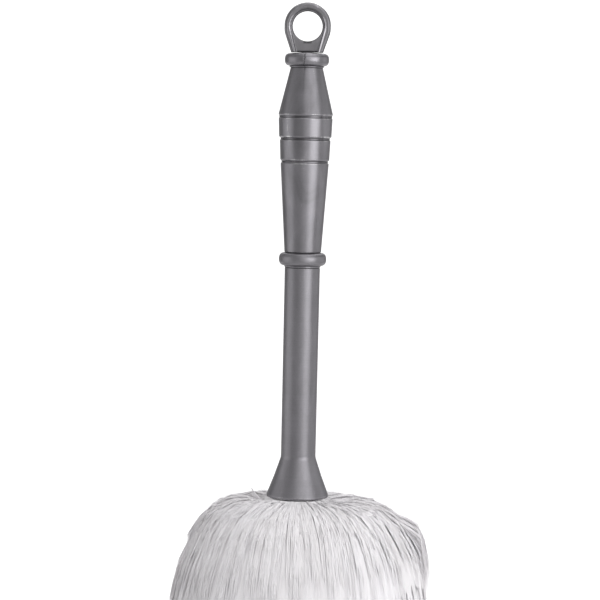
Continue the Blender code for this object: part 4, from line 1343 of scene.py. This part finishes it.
# Name, azimuth, elevation, distance, width, height, radiance and the level that it is aimed at
SOFTBOXES = (
    ("key", 42.0, 4.0, 1.5, 1.0, 0.75, 2.25, -0.15),
    ("key_spread", 30.0, 15.0, 1.6, 2.2, 1.2, 0.95, -0.15),
    ("right_fill", 108.0, 4.0, 1.5, 1.4, 0.9, 0.5, -0.15),
    ("left_fill", -84.0, 0.0, 1.5, 1.4, 0.9, 0.75, -0.15),
    ("overhead", 30.0, 68.0, 1.5, 1.2, 1.2, 1.2, -0.15),
    ("behind", 172.0, 62.0, 1.5, 1.3, 1.2, 2.0, -0.2),
)
CAMERA_PLACE = (-0.00098, -1.456, -0.0617)
CAMERA_PITCH = 4.36
CAMERA_ROLL = 1.27


def lights():
    """A key to the right of the camera with a wider, weaker one round it, a weak fill at each
    side, and two lights overhead, one before and one behind the object."""
    for row in SOFTBOXES:
        softbox(*row)


def camera():
    """The photograph's view: eye level near the cone's base, a long lens, pitched down, and rolled
    a little so that the hanging handle leans as it does there."""
    data = bpy.data.cameras.new("view")
    data.sensor_width = 36.0
    data.lens = 145.6
    data.clip_start, data.clip_end = 0.05, 60.0
    item = bpy.data.objects.new("view", data)
    bpy.context.scene.collection.objects.link(item)
    pitch = Matrix.Rotation(math.radians(90.0 - CAMERA_PITCH), 4, "X")
    roll = Matrix.Rotation(math.radians(CAMERA_ROLL), 4, "Z")
    item.matrix_world = Matrix.Translation(CAMERA_PLACE) @ pitch @ roll
    bpy.context.scene.camera = item


def finishes():
    """The materials, by name."""
    grey = {"dark": (0.200, 0.194, 0.207), "light": (0.280, 0.272, 0.291), "metallic": 0.9}
    loop_grey = {"dark": (0.164, 0.160, 0.168), "light": (0.232, 0.226, 0.238), "metallic": 0.9}
    plain = {"roughness": 0.5, "metallic": 0.0, "flow": 0.5, "rings": 0.3}
    return {
        # the dark marks are mostly painted shade, and the loop's edge mark is a painted highlight
        "grip": plastic("grip_grey", **grey, roughness=0.34, flow=0.75, rings=0.25,
                        edge_gain=0.19, darken_gain=0.7),
        "shaft": plastic("shaft_grey", **grey, roughness=0.40, flow=0.45, rings=0.45,
                         edge_gain=0.19, darken_gain=0.5),
        "loop": plastic("loop_grey", **loop_grey, roughness=0.38, flow=0.7, rings=0.1,
                        edge_gain=0.7, darken_gain=0.6, edge_matte=0.9),
        "natural": plastic("natural_plastic", (0.50, 0.50, 0.48), (0.66, 0.66, 0.64), **plain),
        "white": plastic("white_plastic", (0.66, 0.66, 0.65), (0.80, 0.80, 0.79), **plain),
        "fibre": fibre_material("soft_fibre", tone_gain=0.35, specular=0.25, relief=0.0),
        "bed": fibre_material("fibre_bed", tone_gain=0.0, specular=0.1, relief=0.25),
        "backing": backing_material(),
    }


def place_piece(item, body, material, node_name):
    """Dress a piece, set it on its body and let it stand for its CAD node."""
    dress(item, material)
    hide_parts(node_name)
    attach(item, body)


def build():
    """Every piece of the duster."""
    look = finishes()
    place_piece(hanging_loop(), "loop", look["loop"], "hanging_loop")
    grip = turned_piece("grip_moulding", grip_corners(), grip_angles(), moulding_line)
    place_piece(grip, "handle", look["grip"], "grip")
    shaft = turned_piece("shaft_moulding", shaft_corners(), even_angles(144), bead_shade, 2.2)
    place_piece(shaft, "handle", look["shaft"], "shaft")
    socket = turned_piece("socket_bush", socket_corners(), even_angles(72))
    place_piece(socket, "handle", look["natural"], "head_socket")
    core = solid_turned("core_rod", core_corners(), 64)
    place_piece(core, "head", look["white"], "head_core")
    washer = turned_piece("root_disc", washer_corners(), even_angles(72))
    place_piece(washer, "head", look["white"], "root_washer")
    cap = solid_turned("end_cap", cap_corners(), 72)
    place_piece(cap, "head", look["white"], "tip_cap")
    for turn in range(TURNS):
        fluff, bed, tape = fringe(turn)
        node_name = "fringe_turn_%02d" % (turn + 1)
        for layer in fluff:
            place_piece(layer, "head", look["fibre"], node_name)
        place_piece(bed, "head", look["bed"], node_name)
        place_piece(tape, "head", look["backing"], node_name)


bpy.context.scene.view_settings.view_transform = "Standard"
build()
backdrop()
surroundings()
lights()
camera()
